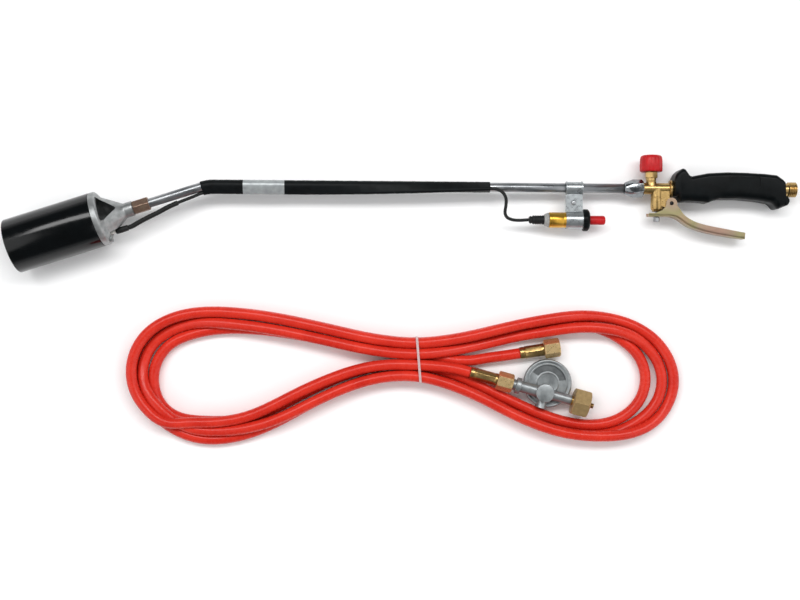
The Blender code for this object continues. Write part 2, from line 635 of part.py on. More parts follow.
def make_lever(torch):
    """U-shaped sheet lever: outer body, hollowed from above, with a fork and a pivot hole."""
    frame = empty("lever_axis", torch, (*PIVOT, 0))
    ear = arc(PIVOT, 6.0, -15, 192, 8)
    upper = [(377.4, -47.9), (356.1, -44.0), (335.2, -40.0), (322.7, -36.4), (314.5, -32.2), (308.8, -27.2),
             (305.0, -21.6)]
    lower = [(289.4, -20.6), (286.4, -23.6), (281.0, -26.2), (277.0, -27.6), (271.6, -29.2)]
    outline = [(x - PIVOT[0], y - PIVOT[1]) for x, y in LEVER_UNDERSIDE + upper + ear + lower]
    body = prism("lever", outline, -LEVER_HALF_WIDTH, LEVER_HALF_WIDTH)
    piece = add_object("lever", body, frame, "yellow_zinc")
    inside = [(x - PIVOT[0], y - PIVOT[1] + SHEET) for x, y in LEVER_UNDERSIDE]
    inside[0] = (inside[0][0] - 8, inside[0][1])
    inside[-1] = (inside[-1][0] + 8, inside[-1][1] - 1.3)
    inside += [(inside[-1][0], 30.0), (inside[0][0], 30.0)]
    half = LEVER_HALF_WIDTH - SHEET
    cut(piece, "lever_hollow", prism("lever_hollow", inside, -half, half), frame)
    slot = block("lever_slot", (-40.0, -25.0, -1.9), (STEM_X + 2.6 - PIVOT[0], -8.0, 1.9))
    cut(piece, "lever_slot", slot, frame)
    hole = cylinder("lever_pivot_hole", -12, 12, 2.2, 16)
    cut(piece, "lever_pivot_hole", hole, frame, (0, 0, 0), (0, -90, 0))
    pin = [(-8.5, 1.9), (8.5, 1.9), (8.5, 1.1), (-8.5, 1.1)]
    add_object("lever_pin", turned("lever_pin", pin, 16, True), torch, "steel", (*PIVOT, 0), (0, -90, 0))


# ---------------------------------------------------------------- handle

HANDLE_TOP = [(298.4, 10.4), (300.6, 16.0), (303.4, 18.6), (306.9, 21.3), (309.6, 20.9), (314.5, 14.0),
              (317.0, 12.7), (335.2, 16.3), (356.1, 17.5), (376.9, 17.1), (397.6, 16.0), (410.1, 14.7),
              (417.1, 9.8), (419.0, 7.4)]
HANDLE_BOTTOM = [(298.4, -8.6), (303.5, -9.0), (304.3, -14.8), (314.5, -14.1), (331.1, -15.0),
                 (335.2, -15.9), (340.8, -13.5), (348.9, -11.4), (369.9, -11.3), (390.7, -13.2),
                 (404.0, -15.4), (407.2, -17.5), (410.1, -21.4), (412.2, -22.1), (419.0, -19.1)]
HANDLE_WIDTH = [(298.4, 13.5), (303.4, 15.6), (309.6, HANDLE_HALF_WIDTH), (423.0, HANDLE_HALF_WIDTH)]


def along(table, x):
    """Straight-line interpolation in a list of (x, value)."""
    for (x0, v0), (x1, v1) in zip(table, table[1:]):
        if x <= x1:
            return v0 + (v1 - v0) * (x - x0) / (x1 - x0)
    return table[-1][1]


def handle_section(x, top, bottom, half):
    """Rounded rectangle in the YZ plane, with softer corners towards the lever."""
    limit = (top - bottom) * 0.45
    upper, under = min(5.0, limit), min(8.0, limit)
    corners = [(top, half, upper, 0), (top, -half, upper, 270), (bottom, -half, under, 180),
               (bottom, half, under, 90)]
    points = []
    for y, z, radius, start in corners:
        centre = (y - math.copysign(radius, y - (top + bottom) / 2), z - math.copysign(radius, z))
        points += arc(centre, radius, start + 90, start, 3)
    return [(x, y, z) for y, z in points]


def make_handle(torch):
    stations = sorted({x for x, _ in HANDLE_TOP + HANDLE_BOTTOM})
    rings = [handle_section(x, along(HANDLE_TOP, x), along(HANDLE_BOTTOM, x), along(HANDLE_WIDTH, x))
             for x in stations]
    rings += [handle_section(419.4, -7.4, -18.9, HANDLE_HALF_WIDTH),
              handle_section(421.8, -8.3, -17.9, 15.6),
              handle_section(423.2, -10.6, -15.4, 14.6)]
    piece = add_object("handle", loft("handle", rings), torch, "black")
    cut(piece, "handle_bore", cylinder("handle_bore", 290, 430, PIPE_R + GAP, 20), torch)
    cut(piece, "handle_seat", cylinder("handle_seat", 290, 302, BARREL_R + GAP, 24), torch)
    collar = [(294.8, 8.4), (295.6, 9.2), (298.0, 9.2), (298.0, BARREL_R + GAP), (294.8, BARREL_R + GAP)]
    add_object("handle_collar", turned("handle_collar", collar, 20, True), torch, "brass")
    end_r = PIPE_R - 0.4
    tube = [(292.0, end_r), (301.3, end_r), (301.3, PIPE_R), (418.2, PIPE_R), (418.2, end_r), (424.0, end_r),
            (424.0, 3.2), (292.0, 3.2)]
    add_object("handle_pipe", turned("handle_pipe", tube, 20, True), torch, "steel")


def make_inlet(torch):
    root, crest, pitch = 7.5, 8.3, 1.9
    outside = [(419.8, 6.9), (424.9, 6.9), (425.2, root)]
    for turn in range(5):
        start = 425.4 + pitch * turn
        outside += [(start + 0.35, crest), (start + 0.95, crest), (start + 1.55, root)]
    inside = [(434.8, root - 0.4), (434.8, 4.4), (431.6, 2.8), (424.4, 2.8), (424.4, PIPE_R - 0.1),
              (419.8, PIPE_R - 0.1)]
    piece = turned("inlet_connector", outside + inside, 16, True)
    add_object("inlet_connector", piece, torch, "brass")


# ---------------------------------------------------------------- hose

HANK_OUTER = [(-304.5, -79.0), (-297.5, -52.0), (-282.4, -29.8), (-252.0, -12.6), (-216.2, -6.2),
              (-176.0, -8.0), (-136.8, -13.2), (-83.8, -24.3), (-30.9, -36.4), (TIE_X, -41.5),
              (75.0, -34.2), (127.9, -21.0), (180.9, -12.1), (214.0, -11.0), (250.0, -17.5), (282.0, -34.0),
              (303.0, -60.0), (311.0, -88.0), (305.0, -114.0), (286.8, -139.0), (252.0, -154.0),
              (214.0, -156.5), (175.0, -152.0), (127.9, -134.6), (75.0, -107.0), (TIE_X, -89.6),
              (-30.9, -92.9), (-83.8, -113.6), (-136.8, -142.3), (-176.0, -156.5), (-216.2, -160.4),
              (-250.0, -150.0), (-278.0, -129.0), (-297.5, -103.0)]
LEFT_HOLE = [(-267.9, -88.0), (-262.0, -69.0), (-246.0, -51.5), (-222.0, -41.5), (-190.0, -38.4),
             (-150.0, -40.6), (-108.0, -48.5), (-74.0, -57.5), (-50.0, -64.5), (-74.0, -73.0),
             (-108.0, -87.0), (-150.0, -110.5), (-190.0, -124.0), (-226.0, -128.0), (-250.0, -124.5),
             (-264.0, -108.0)]
RIGHT_HOLE = [(75.5, -57.0), (101.5, -53.2), (132.0, -46.4), (172.0, -40.4), (205.0, -41.4), (232.0, -48.5),
              (252.0, -64.0), (261.0, -86.0), (257.5, -110.0), (244.0, -126.0), (222.0, -133.0),
              (196.0, -132.5), (166.0, -124.5), (140.0, -113.5), (110.0, -100.0), (86.0, -89.0),
              (75.5, -86.5)]


def closed_curve(points, per_span=2):
    """Smooth closed outline through the points of a ring."""
    ring = [Vector((x, y, 0)) for x, y in points]
    count = len(ring)
    outline = []
    for i in range(count):
        p0, p1, p2, p3 = (ring[(i + k) % count] for k in (-1, 0, 1, 2))
        for k in range(per_span):
            t = k / per_span
            spot = 0.5 * (2 * p1 + (p2 - p0) * t + (2 * p0 - 5 * p1 + 4 * p2 - p3) * t ** 2
                          + (3 * p1 - p0 - 3 * p2 + p3) * t ** 3)
            outline.append((spot.x, spot.y))
    return outline


def make_hank(hose):
    """The wound hose as one closed solid of its outer shape, open inside both loops."""
    body = prism("hose_hank", closed_curve(HANK_OUTER), HOSE_FLOOR, HOSE_TOP)
    piece = add_object("hose_hank", body, hose, "hose")
    for name, hole in (("hank_left", closed_curve(LEFT_HOLE)), ("hank_right", RIGHT_HOLE)):
        cut(piece, name, prism(name, hole, HOSE_FLOOR - 10, HOSE_TOP + 10), hose)


def make_hose_end(hose):
    """The hose's free stretch between the hank and the ferrule."""
    end_x, end_y, end_z = FREE_END_AT
    lead_in = Vector((math.cos(math.radians(FREE_END_DEG)), math.sin(math.radians(FREE_END_DEG)), 0))
    end = Vector((end_x, end_y, end_z)) - lead_in * GAP
    points = [(78.3, -67.2, 8.0), (88.5, -65.3, 8.2), (101.5, -63.2, 8.9), end - lead_in * 14.0, end]
    cord("hose_end", smooth_route(points, 14.0), HOSE_R, hose, "hose", 3)


def make_tie(hose):
    """Strap round the hank where the strands are drawn together."""
    low, high = -91.2, -39.9
    top = HOSE_TOP + GAP
    outer = rounded([(low, 0.1), (high, 0.1), (high, top + 1.2), (low, top + 1.2)], 1.0, 2)
    inner = rounded([(low + 1.2, 1.3), (high - 1.2, 1.3), (high - 1.2, top), (low + 1.2, top)], 0.6, 2)
    sections = ((TIE_X - 1.6, outer), (TIE_X + 1.6, outer), (TIE_X + 1.6, inner), (TIE_X - 1.6, inner))
    rings = [[(x, y, z) for y, z in outline] for x, outline in sections]
    add_object("cable_tie", loft("cable_tie", rings, closed=True), hose, "white")


def make_coupling(end_name, frame, length, nut_corner_up):
    """Ferrule, hose tail and swivel nut; x runs from the ferrule's hose end to the nut's open end."""
    ferrule = [(0, 6.6), (4.4, 6.6), (4.7, 6.2), (5.3, 6.2), (5.6, 6.9), (length, 6.9),
               (length, 3.4), (0, 3.4)]
    add_object("ferrule_" + end_name, turned("ferrule_" + end_name, ferrule, 20, True), frame, "brass")
    back = length + GAP
    tail = [(0.6, 3.1), (back - 0.1, 3.1), (back - 0.1, 4.2), (back + 3.0, 4.2), (back + 3.0, 7.1),
            (back + 7.0, 7.1), (back + 7.4, 5.3), (back + 10.5, 5.3), (back + 12.8, 3.6), (back + 12.8, 1.7),
            (0.6, 1.7)]
    add_object("hose_tail_" + end_name, turned("hose_tail_" + end_name, tail, 16, True), frame, "brass")
    bores = [(back - 5, back + 5, 4.5), (back + 2.7, back + 25, 7.5)]
    nut("hose_nut_" + end_name, frame, "brass", back, back + 17.4, HOSE_NUT_AF, bores, nut_corner_up, 1.2)


def make_free_end(hose):
    frame = empty("free_end_axis", hose, FREE_END_AT, (0, 0, FREE_END_DEG))
    make_coupling("free", frame, 26.6, False)


# ---------------------------------------------------------------- regulator

def make_regulator_body(frame):
    across = [(-46.3, 0), (-46.3, 7.1), (-36.2, 7.1), (-36.2, 5.9), (-33.0, 5.9), (-32.4, 8.8), (-27.6, 8.8),
              (-27.0, 6.4), (0, 6.4), (6, 5.5), (30.0, 5.5), (30.0, 0)]
    piece = add_object("regulator_body", turned("regulator_body", across, 20), frame, "zinc")
    flat = (0, -90, 0)
    disc = [(-8.0, 0), (-8.0, DISC_R), (-5.4, DISC_R), (-4.4, DISC_R - 1.2), (-4.4, 0)]
    join(piece, "body_disc", turned("body_disc", disc, 32), frame, (*DISC_AT, 0), flat)
    boss = [(-7.0, 0), (-7.0, 10.1), (7.6, 10.1), (8.4, 9.3), (8.4, 0)]
    join(piece, "body_boss", turned("body_boss", boss, 24), frame, (0, 0, 0), flat)
    join(piece, "body_stub", cylinder("body_stub", 0, 17.2, 4.8, 20), frame, (0, 0, -1.6), (0, 0, -90))
    cut(piece, "outlet_bore", cylinder("outlet_bore", -60, 1, 3.0, 16), frame)
    cut(piece, "outlet_seat", cylinder("outlet_seat", -60, -38.8, 5.6, 20), frame)
    cut(piece, "inlet_bore", cylinder("inlet_bore", -1, 40, 2.6, 16), frame)
    cut(piece, "boss_bore", cylinder("boss_bore", -20, 0, 3.4, 16), frame, (0, 0, 0), flat)
    cut(piece, "diaphragm_room", cylinder("diaphragm_room", -20, -6.4, 21.5, 32), frame, (*DISC_AT, 0), flat)


def make_regulator_inside(frame):
    flat = (0, -90, 0)
    at = (*DISC_AT, 0)
    rubber = cylinder("diaphragm", -8.9, -8.3, DISC_R - 0.6, 32)
    add_object("diaphragm", rubber, frame, "rubber", at, flat)
    coil("set_spring", -15.7, -9.2, 7.0, 0.8, 3, frame, at, flat)
    cover = [(-17.2, 0), (-17.2, 13.6), (-13.6, 15.5), (-12.6, DISC_R - 2.4), (-11.2, DISC_R),
             (-9.2, DISC_R), (-9.2, DISC_R - 4.2), (-10.8, DISC_R - 4.2), (-12.2, 13.6), (-16.0, 11.8),
             (-16.0, 0)]
    add_object("regulator_cover", turned("regulator_cover", cover, 32), frame, "zinc", at, flat)


def make_cylinder_inlet(frame):
    tail = [(30.3, 5.2), (36.0, 5.2), (36.0, 8.4), (40.6, 8.4), (41.0, 2.9), (54.8, 2.9), (55.4, 2.3),
            (55.4, 1.5), (30.3, 1.5)]
    add_object("inlet_tail", turned("inlet_tail", tail, 20, True), frame, "brass")
    seal = [(41.3, 3.3), (41.3, 7.6), (43.6, 7.6), (43.6, 3.3)]
    add_object("inlet_seal", turned("inlet_seal", seal, 20, True), frame, "rubber")
    bores = [(28, 38, 5.6), (35.6, 60, 10.4)]
    nut("cylinder_nut", frame, "brass", 32.0, 50.2, CYLINDER_NUT_AF, bores, True, 1.6)


def make_regulator(hose):
    frame = empty("regulator_axis", hose, REGULATOR_AT, (0, 0, REGULATOR_DEG))
    make_regulator_body(frame)
    make_regulator_inside(frame)
    make_cylinder_inlet(frame)
    coupling = empty("regulator_hose_axis", frame, (-84.2, 0, 0))
    make_coupling("regulator", coupling, 30.2, True)


# ---------------------------------------------------------------- assembly

def make_torch():
    tilt = (0, math.degrees(TORCH_PITCH), TORCH_YAW_DEG)
    torch = empty("torch_frame", None, (*TORCH_AT, TORCH_HEIGHT), tilt)
    head = empty("head_frame", torch, (BEND_X, 0, 0), (0, 0, 180.0 + BEND_DEG))
    make_lance(torch)
    make_sleeve(torch)
    make_label(torch)
    make_lead(torch)
    make_burner_head(head)
    make_burner_cup(head)
    make_burner_inside(head)
    make_head_nut(head)
    make_igniter(torch)
    make_bracket(torch)
    make_union_nut(torch)
    make_valve_body(torch)
    make_flow_control(torch)
    make_lever_valve(torch)
    make_lever(torch)
    make_handle(torch)
    make_inlet(torch)


def make_hose_set():
    hose = empty("hose_frame", None, HOSE_SET_AT)
    make_hank(hose)
    make_hose_end(hose)
    make_tie(hose)
    make_free_end(hose)
    make_regulator(hose)


clear_scene()
make_torch()
make_hose_set()
bpy.context.view_layer.update()
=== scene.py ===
"""Looks of the propane torch: materials, detailed pieces, the wound hose, floor, lights and camera."""
import json
import math

import bmesh
import bpy
import numpy as np
from mathutils import Matrix, Vector


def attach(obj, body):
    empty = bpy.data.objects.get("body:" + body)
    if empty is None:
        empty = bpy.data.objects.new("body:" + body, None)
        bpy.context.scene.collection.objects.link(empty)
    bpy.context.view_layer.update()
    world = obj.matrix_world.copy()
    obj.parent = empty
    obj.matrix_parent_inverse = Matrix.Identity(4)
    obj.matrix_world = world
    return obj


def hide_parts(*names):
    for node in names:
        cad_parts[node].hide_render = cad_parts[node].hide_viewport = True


MM = 0.001
# Lengths are in millimetres unless a name says otherwise.
INLET_FACE = (434.8, 5.75)
CUP_MOUTH = (221.5, -29.0)
IGNITER_DROP = 35.2
HOSE_CENTRE = (-2.54, -94.23)
CAMERA_HEIGHT_M = 1.378
CAMERA_LENS = 55.8
FLOOR_HALF_M = 30
BOX_WATTS = 57
FILL_STRENGTH, FILL_ANGLE_DEG = 1.15, 70
FREE_FERRULE_LENGTH, REGULATOR_FERRULE_LENGTH = 26.6, 30.2
REGULATOR_COUPLING_X = -84.2

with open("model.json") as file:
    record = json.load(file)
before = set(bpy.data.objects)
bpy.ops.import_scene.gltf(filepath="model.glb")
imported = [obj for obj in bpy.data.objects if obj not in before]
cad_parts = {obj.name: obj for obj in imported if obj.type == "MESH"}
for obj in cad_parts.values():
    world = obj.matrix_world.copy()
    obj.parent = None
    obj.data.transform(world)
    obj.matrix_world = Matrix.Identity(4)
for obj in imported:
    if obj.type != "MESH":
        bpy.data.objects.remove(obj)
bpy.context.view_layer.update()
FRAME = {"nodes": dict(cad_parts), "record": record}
RECORD = FRAME["record"]
JOINTS = {joint["name"]: joint for joint in RECORD["behaviour"]["joints"]}
MOUNTS = {mount["name"]: mount for mount in RECORD["mounts"]}


# ---------------------------------------------------------------- frames taken from the record

def frame_of(origin, x_axis, z_axis):
    """World matrix of a local frame whose axes and origin are in metres."""
    x = Vector(x_axis).normalized()
    y = Vector(z_axis).cross(x).normalized()
    z = x.cross(y)
    turn = Matrix((x, y, z)).transposed()
    return Matrix.Translation(Vector(origin)) @ turn.to_4x4()


TORCH_Z = Vector(JOINTS["lever_squeeze"]["axis"])
INLET = MOUNTS["gas_inlet_face"]
TORCH_X = Vector(INLET["axis"])
TORCH_Y = TORCH_Z.cross(TORCH_X)
TORCH = frame_of(Vector(INLET["pos_m"]) - TORCH_X * INLET_FACE[0] * MM - TORCH_Y * INLET_FACE[1] * MM,
    TORCH_X, TORCH_Z)
MOUTH = MOUNTS["burner_mouth"]
HEAD = frame_of((0, 0, 0), MOUTH["axis"], TORCH_Z)
HEAD = Matrix.Translation(Vector(MOUTH["pos_m"]) - (HEAD @ Vector((*CUP_MOUTH, 0))) * MM) @ HEAD
IGNITER = TORCH @ Matrix.Translation(Vector((0, -IGNITER_DROP, 0)) * MM)
REGULATOR = frame_of(JOINTS["cylinder_nut_spin"]["pos_m"], JOINTS["cylinder_nut_spin"]["axis"], (0, 0, 1))
FREE_END = frame_of(JOINTS["free_nut_spin"]["pos_m"], JOINTS["free_nut_spin"]["axis"], (0, 0, 1))
HOSE = Matrix.Translation(Vector((*HOSE_CENTRE, 0)) * MM)


# ---------------------------------------------------------------- camera, floor and light

def make_camera():
    data = bpy.data.cameras.new("camera")
    data.lens = CAMERA_LENS
    data.sensor_width = 36.0
    camera = bpy.data.objects.new("camera", data)
    bpy.context.scene.collection.objects.link(camera)
    camera.location = (HOSE_CENTRE[0] * MM, HOSE_CENTRE[1] * MM, CAMERA_HEIGHT_M)
    bpy.context.scene.camera = camera


def make_floor():
    bm = bmesh.new()
    corners = [(FLOOR_HALF_M * x, FLOOR_HALF_M * y) for x, y in ((-1, -1), (1, -1), (1, 1), (-1, 1))]
    bm.faces.new([bm.verts.new((x, y, 0.0)) for x, y in corners])
    mesh = bpy.data.meshes.new("floor")
    bm.to_mesh(mesh)
    bm.free()
    floor = bpy.data.objects.new("floor", mesh)
    bpy.context.scene.collection.objects.link(floor)
    look = bpy.data.materials.new("floor_paper")
    look.use_nodes = True
    shader = look.node_tree.nodes["Principled BSDF"]
    shader.inputs["Base Color"].default_value = (0.97, 0.97, 0.97, 1)
    shader.inputs["Roughness"].default_value = 0.9
    shader.inputs["Specular IOR Level"].default_value = 0.1
    mesh.materials.append(look)


def soft_box(name, place, target, size, power):
    data = bpy.data.lights.new(name, "AREA")
    data.shape = "RECTANGLE"
    data.size, data.size_y = size
    data.energy = power
    lamp = bpy.data.objects.new(name, data)
    bpy.context.scene.collection.objects.link(lamp)
    lamp.location = place
    lamp.rotation_euler = (Vector(target) - Vector(place)).to_track_quat("-Z", "Y").to_euler()


def soft_sun(name, direction, angle_deg, strength):
    data = bpy.data.lights.new(name, "SUN")
    data.angle = math.radians(angle_deg)
    data.energy = strength
    lamp = bpy.data.objects.new(name, data)
    bpy.context.scene.collection.objects.link(lamp)
    lamp.rotation_euler = (-Vector(direction)).to_track_quat("-Z", "Y").to_euler()


def make_light():
    """One long box above and behind, fill from both sides, and a room that is pale at the horizon only."""
    soft_box("back_box", (0, 0.95, 2.3), (0, 0, 0), (3.4, 0.66), BOX_WATTS)
    soft_sun("left_fill", (-1.3, -0.35, 1.0), FILL_ANGLE_DEG, FILL_STRENGTH)
    soft_sun("right_fill", (1.3, -0.35, 1.0), FILL_ANGLE_DEG, FILL_STRENGTH)
    world = bpy.data.worlds.new("studio")
    world.use_nodes = True
    bpy.context.scene.world = world
    tree = world.node_tree
    split = tree.nodes.new("ShaderNodeSeparateXYZ")
    tree.links.new(tree.nodes.new("ShaderNodeTexCoord").outputs["Generated"], split.inputs[0])
    fade = tree.nodes.new("ShaderNodeValToRGB").color_ramp
    fade.elements[0].color = (0.80, 0.81, 0.82, 1)
    fade.elements[1].position = 0.28
    fade.elements[1].color = (0.11, 0.115, 0.12, 1)
    ramp = tree.nodes["Color Ramp"]
    tree.links.new(split.outputs["Z"], ramp.inputs["Fac"])
    tree.links.new(ramp.outputs["Color"], tree.nodes["Background"].inputs["Color"])


# ---------------------------------------------------------------- materials

class Paint:
    """A Principled material whose colour, roughness and bump come from noise in the piece's own space."""

    def __init__(self, name, roughness, metallic=0.0):
        self.look = bpy.data.materials.new(name)
        self.look.use_nodes = True
        self.tree = self.look.node_tree
        self.shader = self.tree.nodes["Principled BSDF"]
        self.shader.inputs["Metallic"].default_value = metallic
        self.shader.inputs["Roughness"].default_value = roughness
        self.place = self.tree.nodes.new("ShaderNodeTexCoord").outputs["Object"]
        self.height = None

    def set(self, **values):
        for key, value in values.items():
            self.shader.inputs[key.replace("_", " ")].default_value = value
        return self

    def link(self, a, b):
        self.tree.links.new(a, b)

    def spread(self, stretch, source=None):
        node = self.tree.nodes.new("ShaderNodeMapping")
        node.inputs["Scale"].default_value = stretch
        self.link(source or self.place, node.inputs["Vector"])
        return node.outputs["Vector"]

    def noise(self, scale, detail=3.0, stretch=(1, 1, 1), source=None):
        node = self.tree.nodes.new("ShaderNodeTexNoise")
        node.inputs["Scale"].default_value = scale
        node.inputs["Detail"].default_value = detail
        self.link(self.spread(stretch, source), node.inputs["Vector"])
        return node.outputs["Fac"]

    def waves(self, scale, direction="X", distortion=0.0, source=None):
        node = self.tree.nodes.new("ShaderNodeTexWave")
        node.bands_direction = direction
        node.inputs["Scale"].default_value = scale
        node.inputs["Distortion"].default_value = distortion
        self.link(source or self.place, node.inputs["Vector"])
        return node.outputs["Fac"]

    def ramp(self, source, stops):
        node = self.tree.nodes.new("ShaderNodeValToRGB")
        ramp = node.color_ramp
        for index, (place, colour) in enumerate(stops):
            stop = ramp.elements[index] if index < 2 else ramp.elements.new(place)
            stop.position = place
            stop.color = (*colour, 1.0)
        self.link(source, node.inputs["Fac"])
        return node.outputs["Color"]

    def mix(self, factor, a, b, kind="MIX"):
        node = self.tree.nodes.new("ShaderNodeMix")
        node.data_type = "RGBA"
        node.blend_type = kind
        for socket, value in ((node.inputs[0], factor), (node.inputs[6], a), (node.inputs[7], b)):
            if isinstance(value, bpy.types.NodeSocket):
                self.link(value, socket)
            elif isinstance(value, tuple):
                socket.default_value = (*value, 1.0)
            else:
                socket.default_value = value
        return node.outputs[2]

    def colour(self, source):
        self.link(source, self.shader.inputs["Base Color"])
        return self

    def shade_below(self, low_mm, high_mm, dark):
        """Darken the base colour towards low_mm of the piece's own Z: painted shade in a recess."""
        split = self.tree.nodes.new("ShaderNodeSeparateXYZ")
        self.link(self.place, split.inputs[0])
        share = self.tree.nodes.new("ShaderNodeMapRange")
        share.inputs["From Min"].default_value = low_mm * MM
        share.inputs["From Max"].default_value = high_mm * MM
        share.inputs["To Min"].default_value = 1.0 - dark
        self.link(split.outputs["Z"], share.inputs["Value"])
        base = self.shader.inputs["Base Color"].links[0].from_socket
        return self.colour(self.mix(1.0, base, share.outputs["Result"], "MULTIPLY"))

    def roughness(self, source, low, high):
        node = self.tree.nodes.new("ShaderNodeMapRange")
        node.inputs["From Min"].default_value = 0.3
        node.inputs["From Max"].default_value = 0.7
        node.inputs["To Min"].default_value = low
        node.inputs["To Max"].default_value = high
        self.link(source, node.inputs["Value"])
        self.link(node.outputs["Result"], self.shader.inputs["Roughness"])
        return self

    def bump(self, source, depth_mm, strength=1.0):
        """Stack one more layer of relief on the piece."""
        node = self.tree.nodes.new("ShaderNodeBump")
        node.inputs["Strength"].default_value = strength
        node.inputs["Distance"].default_value = depth_mm * MM
        self.link(source, node.inputs["Height"])
        if self.height:
            self.link(self.height, node.inputs["Normal"])
        self.height = node.outputs["Normal"]
        self.link(self.height, self.shader.inputs["Normal"])
        return self


def mottled(paint, light, dark, scale, low, high, stretch=(1, 1, 1)):
    """Two tones and two roughnesses that drift over the surface."""
    cloud = paint.noise(scale, 4.0, stretch)
    paint.colour(paint.ramp(cloud, [(0.32, dark), (0.68, light)]))
    return paint.roughness(paint.noise(scale * 2.3, 3.0, stretch), low, high)


def machined(name, light, dark, low, high, marks=0.0025, wave=700):
    """Turned metal: fine rings round the piece's own X axis."""
    paint = mottled(Paint(name, low, 1.0), light, dark, 260, low, high)
    paint.bump(paint.waves(wave, "X", 1.2), marks, 0.4)
    return paint.bump(paint.noise(700), 0.0012, 0.3)


def black(name, tone, scale, low, high, sheen=0.35):
    paint = mottled(Paint(name, low), tone, tuple(0.5 * v for v in tone), scale, low, high)
    return paint.set(Specular_IOR_Level=sheen)


def make_looks():
    looks = {}
    enamel = black("black_enamel", (0.0012, 0.0020, 0.0024), 60, 0.12, 0.17, 0.36)
    looks["enamel"] = enamel.bump(enamel.noise(900), 0.010, 0.5).bump(enamel.noise(45, 2.0), 0.2, 0.3)
    cast = mottled(Paint("cast_alloy", 0.4, 0.8), (0.35, 0.36, 0.36), (0.23, 0.24, 0.24), 160, 0.34, 0.50)
    looks["cast"] = cast.bump(cast.noise(1300, 4.0), 0.03, 0.8).bump(cast.noise(260), 0.1, 0.4)
    for name in ("zinc", "zinc_painted_shade"):
        zinc = mottled(Paint(name + "_casting", 0.4, 0.75), (0.33, 0.35, 0.355), (0.23, 0.245, 0.25), 130,
            0.34, 0.48)
        # The second zinc copy carries painted shade: its colour darkens towards the casting's low side, where the
        # recesses lie.
        if name == "zinc_painted_shade":
            zinc.shade_below(-6.6, -4.4, 0.5)
        looks[name] = zinc.bump(zinc.noise(1500, 4.0), 0.02, 0.7).bump(zinc.noise(220), 0.1, 0.35)
    looks["brass"] = machined("brass", (0.50, 0.34, 0.14), (0.41, 0.27, 0.10), 0.26, 0.36, 0.0003)
    looks["brass_pale"] = machined("brass_pale", (0.76, 0.55, 0.28), (0.66, 0.46, 0.21), 0.26, 0.34, 0.0003)
    looks["brass_pale"].set(Metallic=0.75)
    looks["brass_tan"] = machined("brass_tan", (0.50, 0.35, 0.16), (0.40, 0.27, 0.12), 0.32, 0.42, 0.0005)
    looks["brass_tan"].set(Metallic=0.6)
    looks["brass_dark"] = machined("brass_tarnished", (0.34, 0.24, 0.17), (0.26, 0.16, 0.12), 0.30, 0.42,
        0.0005)
    looks["brass_dark"].set(Metallic=0.85)
    looks["chrome"] = machined("chrome", (0.28, 0.30, 0.31), (0.18, 0.19, 0.20), 0.14, 0.24, 0.0005)
    tube = mottled(Paint("plated_steel", 0.2, 0.9), (0.36, 0.37, 0.38), (0.15, 0.16, 0.17), 95, 0.26, 0.40,
        (0.35, 1, 1))
    looks["tube"] = tube.bump(tube.noise(700, 4.0, (0.3, 1, 1)), 0.010, 0.6)
    plated = mottled(Paint("plated_sheet", 0.2, 0.8), (0.42, 0.45, 0.46), (0.31, 0.33, 0.34), 120, 0.24, 0.38)
    looks["plated"] = plated.bump(plated.noise(900), 0.006, 0.6)
    looks["steel"] = machined("steel", (0.40, 0.41, 0.42), (0.28, 0.29, 0.30), 0.28, 0.40)
    looks["spring"] = machined("spring_steel", (0.06, 0.06, 0.06), (0.03, 0.03, 0.03), 0.35, 0.45)
    plate = Paint("yellow_zinc", 0.35, 0.7)
    plate.colour(plate.ramp(plate.noise(22, 1.0), [(0.30, (0.34, 0.22, 0.165)), (0.45, (0.32, 0.245, 0.165)),
        (0.55, (0.29, 0.26, 0.13)), (0.70, (0.36, 0.23, 0.155))]))
    plate.roughness(plate.noise(300), 0.30, 0.42)
    looks["lever"] = plate.bump(plate.noise(1100, 4.0), 0.006, 0.6)
    sleeve = black("black_sheath", (0.0035, 0.0050, 0.0058), 140, 0.42, 0.56, 0.13)
    sleeve.bump(sleeve.noise(700, 4.0), 0.03, 0.6)
    looks["sleeve"] = sleeve.bump(sleeve.noise(60, 3.0, (0.35, 1, 1)), 0.5, 0.5)
    rubber = black("black_rubber", (0.008, 0.009, 0.009), 300, 0.45, 0.62, 0.30)
    looks["rubber"] = rubber.bump(rubber.noise(1800), 0.02, 0.6)
    plastic = black("black_plastic", (0.0020, 0.0034, 0.0040), 90, 0.30, 0.42, 0.10)
    looks["plastic"] = plastic.bump(plastic.noise(2600, 2.0), 0.02, 0.7)
    white = mottled(Paint("white_ceramic", 0.3), (0.80, 0.79, 0.75), (0.68, 0.66, 0.62), 400, 0.22, 0.4)
    looks["white"] = white.bump(white.noise(1200), 0.01, 0.5)
    pale = mottled(Paint("pale_plastic", 0.4), (0.36, 0.36, 0.34), (0.24, 0.24, 0.23), 300, 0.3, 0.45)
    looks["pale"] = pale.bump(pale.noise(1200), 0.01, 0.5)
    film = mottled(Paint("label_film", 0.35, 0.35), (0.40, 0.43, 0.43), (0.30, 0.32, 0.33), 210, 0.30, 0.44)
    looks["film"] = film.bump(film.noise(500), 0.03, 0.5)
    looks["gold"] = machined("gold_anodised", (0.64, 0.38, 0.06), (0.52, 0.28, 0.04), 0.28, 0.36, 0.0005, 900)
    red = mottled(Paint("red_plastic", 0.35), (0.52, 0.012, 0.015), (0.36, 0.007, 0.009), 160, 0.30, 0.42)
    red.set(Specular_IOR_Level=0.2)
    looks["red"] = red.bump(red.noise(1800, 2.0), 0.015, 0.6)
    tie = mottled(Paint("clear_tie", 0.3), (0.80, 0.66, 0.66), (0.70, 0.50, 0.50), 500, 0.25, 0.4)
    tie.set(Transmission_Weight=0.35, IOR=1.4)
    looks["tie"] = tie.bump(tie.waves(900, "Y"), 0.05, 0.6)
    looks["hose"] = hose_look()
    return {name: paint.look for name, paint in looks.items()}


